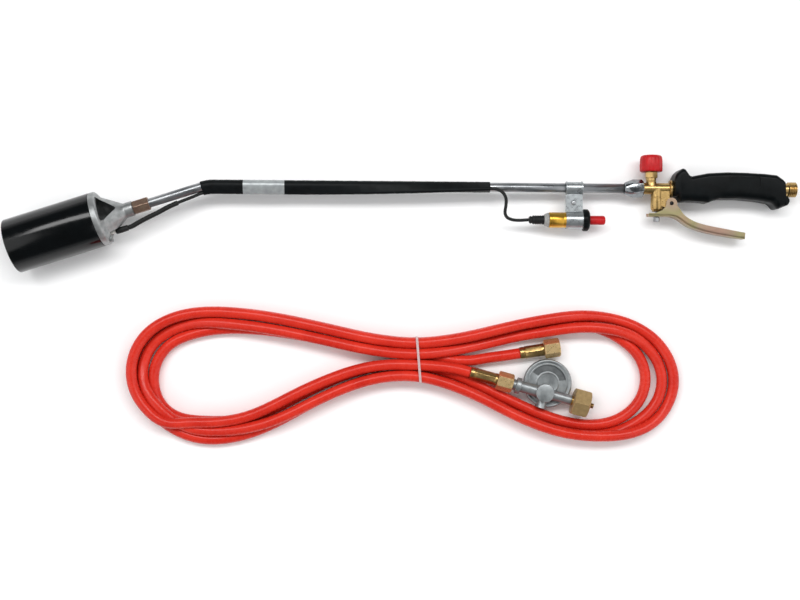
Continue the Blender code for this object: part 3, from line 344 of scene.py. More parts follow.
def hose_look():
    """Glossy red tube with the yarn of its braid showing faintly through the skin; U and V are in millimetres."""
    paint = Paint("red_hose", 0.25)
    flat = paint.tree.nodes.new("ShaderNodeUVMap").outputs["UV"]
    yarns = []
    for slant in (0.82, -0.82):
        turned_uv = paint.tree.nodes.new("ShaderNodeMapping")
        turned_uv.inputs["Rotation"].default_value = (0, 0, slant)
        paint.link(flat, turned_uv.inputs["Vector"])
        yarns.append(paint.waves(0.17, "X", 0.0, turned_uv.outputs["Vector"]))
    lattice = paint.mix(1.0, yarns[0], yarns[1], "MULTIPLY")
    deep = paint.ramp(paint.noise(35, 3.0), [(0.3, (0.56, 0.019, 0.010)), (0.7, (0.68, 0.034, 0.018))])
    paint.colour(paint.mix(paint.ramp(lattice, [(0.2, (0, 0, 0)), (1.0, (0.16, 0.16, 0.16))]), deep,
        (0.85, 0.11, 0.06)))
    paint.roughness(paint.noise(240), 0.20, 0.34)
    paint.set(Specular_IOR_Level=0.25, Subsurface_Weight=0.05, Subsurface_Scale=0.002)
    paint.bump(lattice, 0.03, 0.5)
    return paint.bump(paint.noise(900), 0.02, 0.5)


LOOKS = make_looks()


# ---------------------------------------------------------------- wound hose

HOSE_RADIUS = 6.0
HOSE_STEP = 6.0
BEND_REACH = 4
BEND_SAG = (BEND_REACH * HOSE_STEP) ** 2 / (2 * 52.0)
FLOOR_Z, ROOF_Z = 7.6, 20.0
TIE_X = 20.4

HANK_OUTER = [(-304.5, -79.0), (-297.5, -52.0), (-282.4, -29.8), (-252.0, -12.6), (-216.2, -6.2),
    (-176.0, -8.0), (-136.8, -13.2), (-83.8, -24.3), (-30.9, -36.4), (TIE_X, -41.5), (75.0, -34.2),
    (127.9, -21.0), (180.9, -12.1), (214.0, -11.0), (250.0, -17.5), (282.0, -34.0), (303.0, -60.0),
    (311.0, -88.0), (305.0, -114.0), (286.8, -139.0), (252.0, -154.0), (214.0, -156.5), (175.0, -152.0),
    (127.9, -134.6), (75.0, -107.0), (TIE_X, -89.6), (-30.9, -92.9), (-83.8, -113.6), (-136.8, -142.3),
    (-176.0, -156.5), (-216.2, -160.4), (-250.0, -150.0), (-278.0, -129.0), (-297.5, -103.0)]
LEFT_HOLE = [(-267.9, -88.0), (-262.0, -69.0), (-246.0, -51.5), (-222.0, -41.5), (-190.0, -38.4),
    (-150.0, -40.6), (-108.0, -48.5), (-74.0, -57.5), (-50.0, -64.5), (-74.0, -73.0), (-108.0, -87.0),
    (-150.0, -110.5), (-190.0, -124.0), (-226.0, -128.0), (-250.0, -124.5), (-264.0, -108.0)]
RIGHT_HOLE = [(82.0, -60.0), (101.5, -53.2), (132.0, -46.4), (172.0, -40.4), (205.0, -41.4), (232.0, -48.5),
    (252.0, -64.0), (261.0, -86.0), (257.5, -110.0), (244.0, -126.0), (222.0, -133.0), (196.0, -132.5),
    (166.0, -124.5), (140.0, -113.5), (110.0, -99.0), (86.0, -88.0)]


def closed_curve(points, per_span):
    """Smooth closed outline through the points of a ring."""
    ring = np.array(points)
    rows = []
    for i in range(len(ring)):
        p0, p1, p2, p3 = (ring[(i + k) % len(ring)] for k in (-1, 0, 1, 2))
        for k in range(per_span):
            t = k / per_span
            rows.append(0.5 * (2 * p1 + (p2 - p0) * t + (2 * p0 - 5 * p1 + 4 * p2 - p3) * t ** 2 +
                (3 * p1 - p0 - 3 * p2 + p3) * t ** 3))
    return np.array(rows)


def resampled(points, step):
    """The same line with evenly spaced points."""
    points = np.asarray(points, float)
    reach = np.concatenate([[0.0], np.cumsum(np.linalg.norm(np.diff(points, axis=0), axis=1))])
    count = max(2, int(round(reach[-1] / step)))
    places = np.linspace(0, reach[-1], count + 1)
    return np.column_stack([np.interp(places, reach, points[:, k]) for k in range(points.shape[1])])


def lobe_edge(side):
    """Outer edge of one lobe from the tie's upper side round to its lower side, with inward normals."""
    outline = closed_curve(HANK_OUTER, 6)
    upper = int(np.argmin(np.linalg.norm(outline - (TIE_X, -41.5), axis=1)))
    lower = int(np.argmin(np.linalg.norm(outline - (TIE_X, -89.6), axis=1)))
    count = len(outline)
    if side == "left":
        order = [(upper - k) % count for k in range((upper - lower) % count + 1)]
    else:
        order = [(upper + k) % count for k in range((lower - upper) % count + 1)]
    edge = resampled(outline[order], 4.0)
    along = np.gradient(edge, axis=0)
    along /= np.linalg.norm(along, axis=1)[:, None]
    turn = 1.0 if side == "left" else -1.0
    return edge, np.column_stack([-along[:, 1], along[:, 0]]) * turn


def strand(side, table):
    """Route of one turn: the table lists (share of the lobe, distance inside its edge, height)."""
    edge, inward = lobe_edge(side)
    share = np.linspace(0, 1, len(edge))
    knots, depths, heights = (np.array(column) for column in zip(*table))
    smooth = np.linspace(0, 1, 401)
    kernel = np.hanning(61) / np.hanning(61).sum()
    columns = []
    for values in (depths, heights):
        dense = np.interp(smooth, knots, values)
        padded = np.concatenate([np.full(30, dense[0]), dense, np.full(30, dense[-1])])
        columns.append(np.interp(share, smooth, np.convolve(padded, kernel, "valid")))
    plan = edge + inward * columns[0][:, None]
    return np.column_stack([plan, columns[1]])


LEFT_TURNS = {"outer_upper": [(0, 6, 19.9), (0.15, 6.3, 19.9), (0.38, 6.3, 19.9), (0.54, 7.5, 19.7),
    (0.69, 23, 19.9), (0.78, 25, 20), (0.88, 22, 19.9), (1, 18.2, 19.9)], "inner_upper":
    [(0, 18.2, 19.9), (0.15, 19, 19.9), (0.28, 19.5, 19.9), (0.42, 18.4, 7.6), (0.66, 18.4, 7.6),
    (0.80, 7, 19.9), (1, 6, 19.9)], "outer_lower": [(0, 6, 7.6), (0.2, 6.3, 7.6), (0.8, 6.3, 7.6),
    (1, 6, 7.6)], "inner_lower": [(0, 18.2, 7.6), (0.15, 19, 7.6), (0.30, 24, 7.6), (0.42, 30.6, 7.6),
    (0.62, 30.6, 7.6), (0.75, 21, 7.6), (1, 18.2, 7.6)],}
RIGHT_TURNS = {"outer_upper": [(0, 6, 19.9), (0.15, 6.3, 19.9), (0.32, 6.3, 19.0), (0.46, 6.3, 7.6),
    (0.55, 6.3, 7.6), (0.70, 7, 19.9), (1, 6, 19.9)], "inner_upper":
    [(0, 18.2, 19.9), (0.28, 18.4, 19.9), (0.43, 18.5, 7.6), (0.56, 18.5, 7.6), (0.70, 7, 7.6), (1, 6, 7.6)],
    "outer_lower": [(0, 6, 7.6), (0.18, 6.5, 7.6), (0.30, 18, 7.6), (0.45, 36, 7.6), (0.56, 36, 7.6),
    (0.70, 19, 7.6), (1, 18.2, 7.6)],}


def hose_route(reg_start, reg_dir, free_points):
    """First guess of the whole hose, from the regulator's ferrule to the free end's."""
    left = {name: strand("left", table) for name, table in LEFT_TURNS.items()}
    right = {name: strand("right", table) for name, table in RIGHT_TURNS.items()}
    start = [np.array(reg_start) - np.array(reg_dir) * reach for reach in (0, 6, 12, 18, 24)]
    pieces = [np.array(start), left["outer_upper"][::-1], right["outer_upper"], left["inner_upper"][::-1],
        right["inner_upper"], left["outer_lower"][::-1], right["outer_lower"], left["inner_lower"][::-1],
        free_points]
    return resampled(np.vstack(pieces), HOSE_STEP)


def inside_mask(points, outline):
    x, y = points[:, 0][:, None], points[:, 1][:, None]
    a, b = outline, np.roll(outline, -1, axis=0)
    crosses = (a[:, 1] > y) != (b[:, 1] > y)
    with np.errstate(divide="ignore", invalid="ignore"):
        reach = (b[:, 0] - a[:, 0]) * (y - a[:, 1]) / (b[:, 1] - a[:, 1]) + a[:, 0]
    return (crosses & (x < reach)).sum(axis=1) % 2 == 1


def nearest_on(points, outline):
    """Nearest point of a closed outline to each point."""
    a = outline[None, :, :]
    edge = (np.roll(outline, -1, axis=0) - outline)[None, :, :]
    share = ((points[:, None, :] - a) * edge).sum(2) / (edge ** 2).sum(2)
    spots = a + edge * np.clip(share, 0, 1)[:, :, None]
    away = np.linalg.norm(points[:, None, :] - spots, axis=2)
    best = away.argmin(axis=1)
    row = np.arange(len(points))
    return spots[row, best], away[row, best]


def hold_clear(points, outline, keep_inside, margin):
    """Push points until they lie `margin` inside (or outside) an outline."""
    spots, away = nearest_on(points[:, :2], outline)
    within = inside_mask(points[:, :2], outline)
    wrong = within != keep_inside
    signed = np.where(wrong, -away, away)
    need = np.clip(margin - signed, 0, None)
    direction = (points[:, :2] - spots) / np.maximum(away, 1e-6)[:, None]
    direction[wrong] *= -1
    points[:, :2] += direction * np.minimum(need, 2.0)[:, None]


def push_from_line(points, a, b, radius):
    """Push points out of a rigid round piece whose axis runs from a to b."""
    a, b = np.array(a), np.array(b)
    share = np.clip(((points - a) @ (b - a)) / ((b - a) @ (b - a)), 0, 1)
    offset = points - (a + share[:, None] * (b - a))
    away = np.linalg.norm(offset, axis=1)
    need = np.clip(radius - away, 0, None)
    points += offset / np.maximum(away, 1e-6)[:, None] * need[:, None]


def neighbours(points, reach):
    """Pairs of points nearer than `reach` that aren't next to each other along the hose."""
    apart = points[:, None, :] - points[None, :, :]
    near = (apart ** 2).sum(2) < reach ** 2
    rows, cols = np.nonzero(near)
    keep = cols - rows > 5
    return rows[keep], cols[keep]


def settle_hose(route, rigid, fixed, rounds=400):
    """Position-based relaxation: length, bending, weight, floor, outline and self-contact."""
    points = route.copy()
    home = route.copy()
    count = len(points)
    rest = np.linalg.norm(np.diff(points, axis=0), axis=1).mean()
    outer = closed_curve(HANK_OUTER, 3)
    holes = [closed_curve(LEFT_HOLE, 3), np.array(RIGHT_HOLE)]
    index = np.arange(count)
    free = ~fixed
    near_end = index > count - 14
    touching = 2 * HOSE_RADIUS + 0.1
    for turn in range(rounds):
        if turn % 10 == 0:
            rows, cols = neighbours(points, touching + 6)
        weight = 0.05 if turn < rounds * 0.8 else 0.0
        points[free, 2] -= weight
        middle = (points[:-2] + points[2:]) * 0.5
        points[1:-1] += (middle - points[1:-1]) * 0.12 * free[1:-1, None]
        sag = (points[:-2 * BEND_REACH] + points[2 * BEND_REACH:]) * 0.5 - points[BEND_REACH:-BEND_REACH]
        depth = np.linalg.norm(sag, axis=1)[:, None]
        excess = sag * np.clip(depth - BEND_SAG, 0, None) / np.maximum(depth, 1e-6)
        points[BEND_REACH:-BEND_REACH] += excess * 0.3 * free[BEND_REACH:-BEND_REACH, None]
        points[:-2 * BEND_REACH] -= excess * 0.15 * free[:-2 * BEND_REACH, None]
        points[2 * BEND_REACH:] -= excess * 0.15 * free[2 * BEND_REACH:, None]
        for parity in (0, 1):
            first = index[parity:-1:2]
            second = first + 1
            span = points[second] - points[first]
            length = np.linalg.norm(span, axis=1)[:, None]
            fix = span * (length - rest) / length * 0.5
            points[first] += fix * free[first, None]
            points[second] -= fix * free[second, None]
        apart = points[rows] - points[cols]
        gap = np.linalg.norm(apart, axis=1)
        lack = np.clip(touching - gap, 0, None)
        shove = apart * (lack / np.maximum(gap, 1e-6) * 0.5)[:, None]
        total = np.zeros_like(points)
        hits = np.zeros(count)
        np.add.at(total, rows, shove)
        np.add.at(total, cols, -shove)
        np.add.at(hits, rows, lack > 0)
        np.add.at(hits, cols, lack > 0)
        points += total / np.maximum(hits, 1)[:, None] * 1.6 * free[:, None]
        held = points[free & ~near_end]
        hold_clear(held, outer, True, HOSE_RADIUS)
        for hole in holes:
            hold_clear(held, hole, False, HOSE_RADIUS - 0.5)
        points[free & ~near_end] = held
        loose = points[free]
        for a, b, radius in rigid:
            push_from_line(loose, a, b, radius)
        points[free] = loose
        points[:, 2] = np.where(free, np.clip(points[:, 2], FLOOR_Z, ROOF_Z), points[:, 2])
        points[free, :2] += (home[free] - points[free])[:, :2] * 0.03
        tied = free & (np.abs(points[:, 0] - TIE_X) < 14)
        points[tied] += (home[tied] - points[tied]) * 0.2
        points[fixed] = home[fixed]
    return points


def smoothed(points, fixed, passes=6):
    """Even out the last small kinks without moving the ends."""
    points = points.copy()
    free = ~fixed[1:-1, None]
    for _ in range(passes):
        middle = (points[:-2] + points[2:]) * 0.5
        points[1:-1] += (middle - points[1:-1]) * 0.5 * free
    return points


def tube_mesh(name, route, radius, sides):
    """Round tube along a route in millimetres; its UV map holds length and girth in millimetres."""
    route = np.asarray(route, float)
    along = np.gradient(route, axis=0)
    along /= np.linalg.norm(along, axis=1)[:, None]
    side = np.zeros_like(route)
    current = np.cross(along[0], (0.0, 0.0, 1.0))
    for i, direction in enumerate(along):
        current = current - direction * (current @ direction)
        current /= np.linalg.norm(current)
        side[i] = current
    up = np.cross(side, along)
    angles = np.linspace(0, 2 * math.pi, sides, endpoint=False)
    ring = side[:, None, :] * np.cos(angles)[None, :, None] + up[:, None, :] * np.sin(angles)[None, :, None]
    verts = (route[:, None, :] + ring * radius).reshape(-1, 3) * MM
    reach = np.concatenate([[0.0], np.cumsum(np.linalg.norm(np.diff(route, axis=0), axis=1))])
    faces, uvs = [], []
    girth = 2 * math.pi * radius
    for i in range(len(route) - 1):
        for k in range(sides):
            j = (k + 1) % sides
            faces.append((i * sides + k, i * sides + j, (i + 1) * sides + j, (i + 1) * sides + k))
            low, high = girth * k / sides, girth * (k + 1) / sides
            uvs += [(reach[i], low), (reach[i], high), (reach[i + 1], high), (reach[i + 1], low)]
    last = (len(route) - 1) * sides
    faces.append(tuple(range(sides))[::-1])
    faces.append(tuple(last + k for k in range(sides)))
    uvs += [(0.0, 0.0)] * (2 * sides)
    mesh = bpy.data.meshes.new(name)
    mesh.from_pydata([tuple(v) for v in verts], [], faces)
    layer = mesh.uv_layers.new(name="UVMap")
    layer.data.foreach_set("uv", np.array(uvs, np.float32).ravel())
    bm = bmesh.new()
    bm.from_mesh(mesh)
    bmesh.ops.recalc_face_normals(bm, faces=bm.faces)
    bm.to_mesh(mesh)
    bm.free()
    mesh.shade_smooth()
    return mesh


def place_piece(name, mesh, frame, body, look, nodes=()):
    thing = bpy.data.objects.new(name, mesh)
    bpy.context.scene.collection.objects.link(thing)
    thing.matrix_world = frame
    mesh.materials.append(LOOKS[look])
    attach(thing, body)
    if nodes:
        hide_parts(*nodes)
    return thing


def local_point(frame, place):
    """A point of one local frame, in millimetres of the hose frame."""
    return np.array(HOSE.inverted() @ (frame @ (Vector(place) * MM))) / MM


def make_hose():
    reg_start = local_point(REGULATOR, (-84.5, 0, 0))
    reg_dir = local_point(REGULATOR, (-83.5, 0, 0)) - reg_start
    free_end = local_point(FREE_END, (-0.3, 0, 0))
    free_in = local_point(FREE_END, (-14.3, 0, 0))
    bridge = [(62.0, -68.6, 7.8), (78.3, -67.2, 8.0), (88.5, -65.3, 8.2), (101.5, -63.2, 8.9)]
    route = hose_route(reg_start, reg_dir, np.array(bridge + [free_in, free_end]))
    fixed = np.zeros(len(route), bool)
    fixed[:3] = True
    fixed[-10:] = True
    rigid = [(reg_start, reg_start + reg_dir * 31, 13.0), (reg_start + reg_dir * 31, reg_start + reg_dir * 48,
        16.6), (reg_start + reg_dir * 51, reg_start + reg_dir * 140, 14.5)]
    points = smoothed(settle_hose(route, rigid, fixed), fixed)
    fine = resampled(smoothed(resampled(points, 2.5), np.zeros(len(resampled(points, 2.5)), bool), 4), 2.5)
    fine[0], fine[-1] = points[0], points[-1]
    length = float(np.linalg.norm(np.diff(fine, axis=0), axis=1).sum()) * MM
    hose = place_piece("hose", tube_mesh("hose", fine, HOSE_RADIUS - 0.08, 20), HOSE, "hose_set", "hose",
        ("hose_hank", "hose_end"))
    world = [tuple(HOSE @ (Vector(p) * MM)) for p in fine]
    return hose, world, length


# ---------------------------------------------------------------- mesh helpers, all in millimetres

def finish_mesh(bm, name, smooth_deg=38):
    bmesh.ops.recalc_face_normals(bm, faces=bm.faces)
    mesh = bpy.data.meshes.new(name)
    bm.to_mesh(mesh)
    bm.free()
    mesh.shade_smooth()
    mesh.set_sharp_from_angle(angle=math.radians(smooth_deg))
    return mesh


def grid_mesh(name, rows, loop_rows=False, caps=True):
    """Body whose skin runs through rows of points; every row is a closed ring."""
    bm = bmesh.new()
    made = [[bm.verts.new(Vector(p) * MM) for p in row] for row in rows]
    pairs = list(zip(made, made[1:]))
    if loop_rows:
        pairs.append((made[-1], made[0]))
    elif caps:
        for row in (made[0], made[-1]):
            if len(row) > 2:
                bm.faces.new(row)
    for low, high in pairs:
        count = max(len(low), len(high))
        for i in range(count):
            j = i + 1
            corners = [low[i % len(low)], low[j % len(low)], high[j % len(high)], high[i % len(high)]]
            bm.faces.new(list(dict.fromkeys(corners)))
    return finish_mesh(bm, name)


def turned(name, profile, sides=72, ring=False, phase_deg=0.0):
    """Solid of revolution about local +X; the profile lists (x, radius)."""
    rows = []
    for x, radius in profile:
        places = [(x, radius * math.cos(a), radius * math.sin(a)) for a in
            (math.radians(phase_deg) + 2 * math.pi * i / sides for i in range(sides))]
        rows.append(places if radius else places[:1])
    return grid_mesh(name, rows, ring)


def prism(name, outline, low, high):
    return grid_mesh(name, [[(x, y, z) for x, y in outline] for z in (low, high)])


def nut_mesh(name, start, end, across_flats, bore, corner_up=True, chamfer=1.0, back=True, sides=96):
    """Chamfered hexagon nut about +X; bore lists (x, radius) from the far end back to the start."""
    half = across_flats / 2
    corner = half / math.cos(math.radians(30))
    rows = []
    shares = [0, 0.2, 0.4, 0.6, 0.8, 1.0]
    marks = [(start + chamfer * s, s if back else 1.0) for s in shares]
    marks += [(end - chamfer * s, s) for s in reversed(shares)]
    turn = 30.0 if corner_up else 0.0
    for x, share in marks:
        limit = half * 0.975 + (corner - half * 0.975) * share + 0.001
        row = []
        for i in range(sides):
            angle = 2 * math.pi * i / sides
            wedge = (math.degrees(angle) - turn + 60.0) % 60.0 - 30.0
            radius = min(half / math.cos(math.radians(wedge)), limit)
            row.append((x, radius * math.cos(angle), radius * math.sin(angle)))
        rows.append(row)
    for x, radius in bore:
        rows.append([(x, radius * math.cos(2 * math.pi * i / sides), radius *
            math.sin(2 * math.pi * i / sides)) for i in range(sides)])
    return grid_mesh(name, rows, True)


def arc(centre, radius, start_deg, end_deg, steps):
    angles = [math.radians(start_deg + (end_deg - start_deg) * i / steps) for i in range(steps + 1)]
    return [(centre[0] + radius * math.cos(a), centre[1] + radius * math.sin(a)) for a in angles]


def rounded(outline, radius, steps=6):
    """Replace each corner of a closed outline by a short curve."""
    points = []
    for i in range(len(outline)):
        before, corner, after = (Vector(outline[(i + k) % len(outline)]) for k in (-1, 0, 1))
        reach = min(radius, (before - corner).length * 0.49, (after - corner).length * 0.49)
        start = corner + (before - corner).normalized() * reach
        end = corner + (after - corner).normalized() * reach
        for k in range(steps + 1):
            t = k / steps
            points.append(tuple(start.lerp(corner, t).lerp(corner.lerp(end, t), t)))
    return points


def smooth_line(points, per_span=6):
    """Catmull-Rom curve through a few points of any dimension."""
    pts = [np.array(p, float) for p in points]
    pts = [pts[0] * 2 - pts[1]] + pts + [pts[-1] * 2 - pts[-2]]
    line = []
    for p0, p1, p2, p3 in zip(pts, pts[1:], pts[2:], pts[3:]):
        for k in range(per_span):
            t = k / per_span
            line.append(0.5 * (2 * p1 + (p2 - p0) * t + (2 * p0 - 5 * p1 + 4 * p2 - p3) * t ** 2 +
                (3 * p1 - p0 - 3 * p2 + p3) * t ** 3))
    return np.array(line + [pts[-2]])


def turn_to(degrees, axis, at=(0, 0, 0)):
    return Matrix.Translation(Vector(at) * MM) @ Matrix.Rotation(math.radians(degrees), 4, axis)


def carved(name, mesh, steps, smooth_deg=38):
    """Join, cut or intersect a mesh with others: steps lists (tool mesh, matrix, operation)."""
    target = bpy.data.objects.new(name + "_raw", mesh)
    bpy.context.scene.collection.objects.link(target)
    tools = []
    for tool_mesh, matrix, operation in steps:
        tool = bpy.data.objects.new(name + "_tool", tool_mesh)
        bpy.context.scene.collection.objects.link(tool)
        tool.matrix_world = matrix
        step = target.modifiers.new("step", "BOOLEAN")
        step.operation = operation
        step.solver = "EXACT"
        step.object = tool
        tools.append(tool)
    bpy.context.view_layer.update()
    result = bpy.data.meshes.new_from_object(target.evaluated_get(bpy.context.evaluated_depsgraph_get()))
    for item in tools + [target]:
        bpy.data.objects.remove(item, do_unlink=True)
    bm = bmesh.new()
    bm.from_mesh(result)
    bmesh.ops.remove_doubles(bm, verts=bm.verts, dist=0.00001)
    return finish_mesh(bm, name, smooth_deg)


def soften(thing, width_mm=0.25, segments=2, angle_deg=32):
    """Small rounded edges that catch the light."""
    step = thing.modifiers.new("edges", "BEVEL")
    step.width = width_mm * MM
    step.segments = segments
    step.limit_method = "ANGLE"
    step.angle_limit = math.radians(angle_deg)
    step.harden_normals = True
    step.use_clamp_overlap = True
    return thing


NO_TURN = Matrix.Identity(4)


# ---------------------------------------------------------------- lance

BEND_X = -209.8
BEND_DEG = 18.0
TUBE_R = 5.1


def head_point(s, n, z=0.0):
    """A point of the head frame in the torch frame."""
    c, k = math.cos(math.radians(BEND_DEG)), math.sin(math.radians(BEND_DEG))
    return np.array((BEND_X - s * c + n * k, -s * k - n * c, z))


def lance_at(u):
    """Centre line of the lance at distance u past the bend's corner."""
    radius = 45.0
    half = radius * math.tan(math.radians(BEND_DEG / 2))
    if u <= -half:
        return head_point(-u, 0)
    if u >= half:
        return np.array((BEND_X + u, 0.0, 0.0))
    angle = math.radians(BEND_DEG) * (half - u) / (2 * half)
    return np.array((BEND_X + half - radius * math.sin(angle), -radius * (1 - math.cos(angle)), 0.0))


def lead_turn(u):
    x = BEND_X + u
    return math.radians(74.0) * min(1.0, max(0.0, (x + 110.0) / 208.3))


def make_lance():
    route = [lance_at(u) for u in [-90.0 + 2.0 * i for i in range(60)]] + [(x, 0, 0) for x in
        (0.0, 120.0, 254.0)]
    place_piece("lance_pipe", tube_mesh("lance_pipe", route, TUBE_R, 64), TORCH, "torch", "tube",
        ("lance_tube",))


def sleeve_ring(u, grow, sides=56):
    """Section round the tube and the lead together, with the film stretched between them."""
    place = lance_at(u)
    along = lance_at(u + 0.5) - lance_at(u - 0.5)
    along /= np.linalg.norm(along)
    side = np.array((-along[1], along[0], 0.0))
    turn = lead_turn(u)
    lead = np.array((-math.cos(turn), math.sin(turn))) * 7.2
    row = []
    for i in range(sides):
        angle = 2 * math.pi * (i + 0.5) / sides
        away = np.array((math.cos(angle), math.sin(angle)))
        ripple = 0.07 * math.sin(u * 0.9 + 3 * angle) + 0.05 * math.sin(u * 0.37 - 2 * angle)
        tube = away * (TUBE_R + grow + ripple)
        outer = lead + away * (1.8 + grow + ripple)
        best = outer if outer @ away > tube @ away else tube
        row.append(tuple(place + side * best[0] + np.array((0, 0, 1)) * best[1]))
    return row


def make_sleeve():
    stations = [-6.9, -6.5, -5.0] + [-3.0 + 3.0 * i for i in range(103)] + [307.2, 307.9, 308.1]
    grow = [0.35, 0.72] + [0.8] * (len(stations) - 4) + [0.72, 0.35]
    rows = [sleeve_ring(u, g) for u, g in zip(stations, grow)]
    rows += [sleeve_ring(u, 0.3) for u in reversed(stations)]
    place_piece("sleeve_film", grid_mesh("sleeve_film", rows, True), TORCH, "torch", "sleeve",
        ("lance_sleeve",))


def make_label():
    rows = []
    first = 3.0 * round((-169.8 - BEND_X) / 3.0)
    for step in range(16):
        skin = sleeve_ring(first + 3.0 * step, 1.2)[4:26]
        back = sleeve_ring(first + 3.0 * step, 1.02)[4:26]
        rows.append(skin + back[::-1])
    place_piece("label_patch", grid_mesh("label_patch", rows), TORCH, "torch", "film", ("sleeve_label",))


def lead_points():
    angle = math.radians(98.0)
    n, z = 18.3 * math.sin(angle), 18.3 * math.cos(angle)
    front = [head_point(95.6, n, z), head_point(91.5, n - 0.2, z), head_point(82.5, 16.0, -1.9),
        head_point(72.0, 14.2, -1.2), head_point(60.0, 12.4, -0.6), head_point(48.0, 10.2, 0.0),
        head_point(35.0, 8.7, 0.0), head_point(21.0, 7.8, 0.0)]
    inside = []
    for u in [-8.0, 0.0, 8.0] + [30.0 + 27.8 * i for i in range(11)]:
        turn = lead_turn(u)
        inside.append(lance_at(u) + np.array((0, -7.2 * math.cos(turn), 7.2 * math.sin(turn))))
    rear = [(106.0, -2.9, 7.2), (112.3, -6.6, 6.6), (115.6, -13.0, 5.0), (115.6, -20.5, 3.0),
        (115.0, -27.5, 1.3), (117.4, -32.8, 0.4), (124.0, -35.4, 0.0), (132.0, -35.8, 0.0),
        (140.9, -35.2, 0.0)]
    return [np.array(p, float) for p in front + inside + rear]


def make_lead():
    route = resampled(smooth_line(lead_points(), 10), 1.5)
    place_piece("lead_cable", tube_mesh("lead_cable", route, 1.78, 20), TORCH, "torch", "rubber",
        ("ignition_lead",))
    rows = []
    covered = [p for p in resampled(smooth_line(lead_points(), 10), 2.0)[:31]]
    along = np.gradient(np.array(covered), axis=0)
    for place, direction, step in zip(covered, along, range(len(covered))):
        direction = direction / np.linalg.norm(direction)
        side = np.cross((0, 0, 1), direction)
        side /= np.linalg.norm(side)
        up = np.cross(direction, side)
        radius = 2.6 + 0.10 * (step % 2)
        rows.append([tuple(place + (side * math.cos(a) + up * math.sin(a)) * radius) for a in
            np.linspace(0, 2 * math.pi, 28, endpoint=False)])
    inner = [[tuple(np.array(c) + (np.array(p) - np.array(c)) * 0.8) for p in row] for row, c in
        ((rows[-1], covered[-1]), (rows[0], covered[0]))]
    place_piece("lead_sleeving", grid_mesh("lead_sleeving", rows + inner, True), TORCH, "torch", "rubber",
        ("lead_sheath",))


def make_electrode_boot():
    angle = math.radians(98.0)
    at = Matrix.Translation(Vector((0, 18.3 * math.sin(angle), 18.3 * math.cos(angle))) * MM)
    boot = [(96.3, 2.9), (96.8, 3.2), (104.0, 3.4), (109.4, 3.3), (110.2, 2.8), (110.2, 2.1), (96.3, 2.1)]
    place_piece("boot_moulding", turned("boot_moulding", boot, 40, True), HEAD @ at, "torch", "rubber",
        ("electrode_boot",))


# ---------------------------------------------------------------- burner

def make_cup():
    wall = [(125.3, 29.2), (125.5, 29.8), (126.1, 30.0), (150.0, 30.0), (220.4, 30.0), (221.1, 29.85),
        (221.5, 29.4), (221.5, 29.0), (221.2, 28.65), (220.8, 28.6), (125.3, 28.6)]
    place_piece("cup_shell", turned("cup_shell", wall, 144, True), HEAD, "torch", "enamel", ("burner_cup",))


def make_head():
    casting = [(84.3, 8.2), (92.6, 8.2), (93.8, 8.4), (94.8, 9.0), (100.0, 12.4), (107.0, 17.0),
        (114.3, 21.8), (115.2, 22.9), (116.8, 25.9), (118.4, 28.5), (119.3, 29.4), (120.2, 29.8),
        (125.0, 29.8), (125.0, 28.3), (131.5, 28.3), (131.5, 25.9), (120.5, 24.7), (116.5, 22.4),
        (113.0, 18.9), (98.0, 7.4), (95.6, 5.5), (84.3, 5.5)]
    lug = Matrix.Translation(Vector((0, 24.6, 4.5)) * MM)
    steps = [(turned("lug", [(114.5, 0), (114.5, 3.9), (114.9, 4.3), (120.0, 4.3), (120.0, 0)], 40), lug,
        "UNION"), (turned("hole", [(110, 0), (110, 1.7), (118.0, 1.7), (118.0, 0)], 24), lug, "DIFFERENCE")]
    for angle, base, half in ((-22.0, 118.0, 15.8), (98.0, 114.6, 14.5)):
        window = rounded([(99.6, 0.0), (base, -half), (base, half)], 3.0, 8)
        steps.append((prism("window", window, 8.5, 32.0), turn_to(-angle, "X"), "DIFFERENCE"))
    mesh = carved("head_casting", turned("head_casting", casting, 96, True), steps)
    soften(place_piece("head_casting", mesh, HEAD, "torch", "cast", ("burner_head",)), 0.35)
    mesh = nut_mesh("head_hexagon", 66.2, 84.0, 13.6, [(84.0, 5.4), (66.2, 5.4)], True, 0.9)
    place_piece("head_hexagon", mesh, HEAD, "torch", "brass_dark", ("head_nut",))


# ---------------------------------------------------------------- igniter

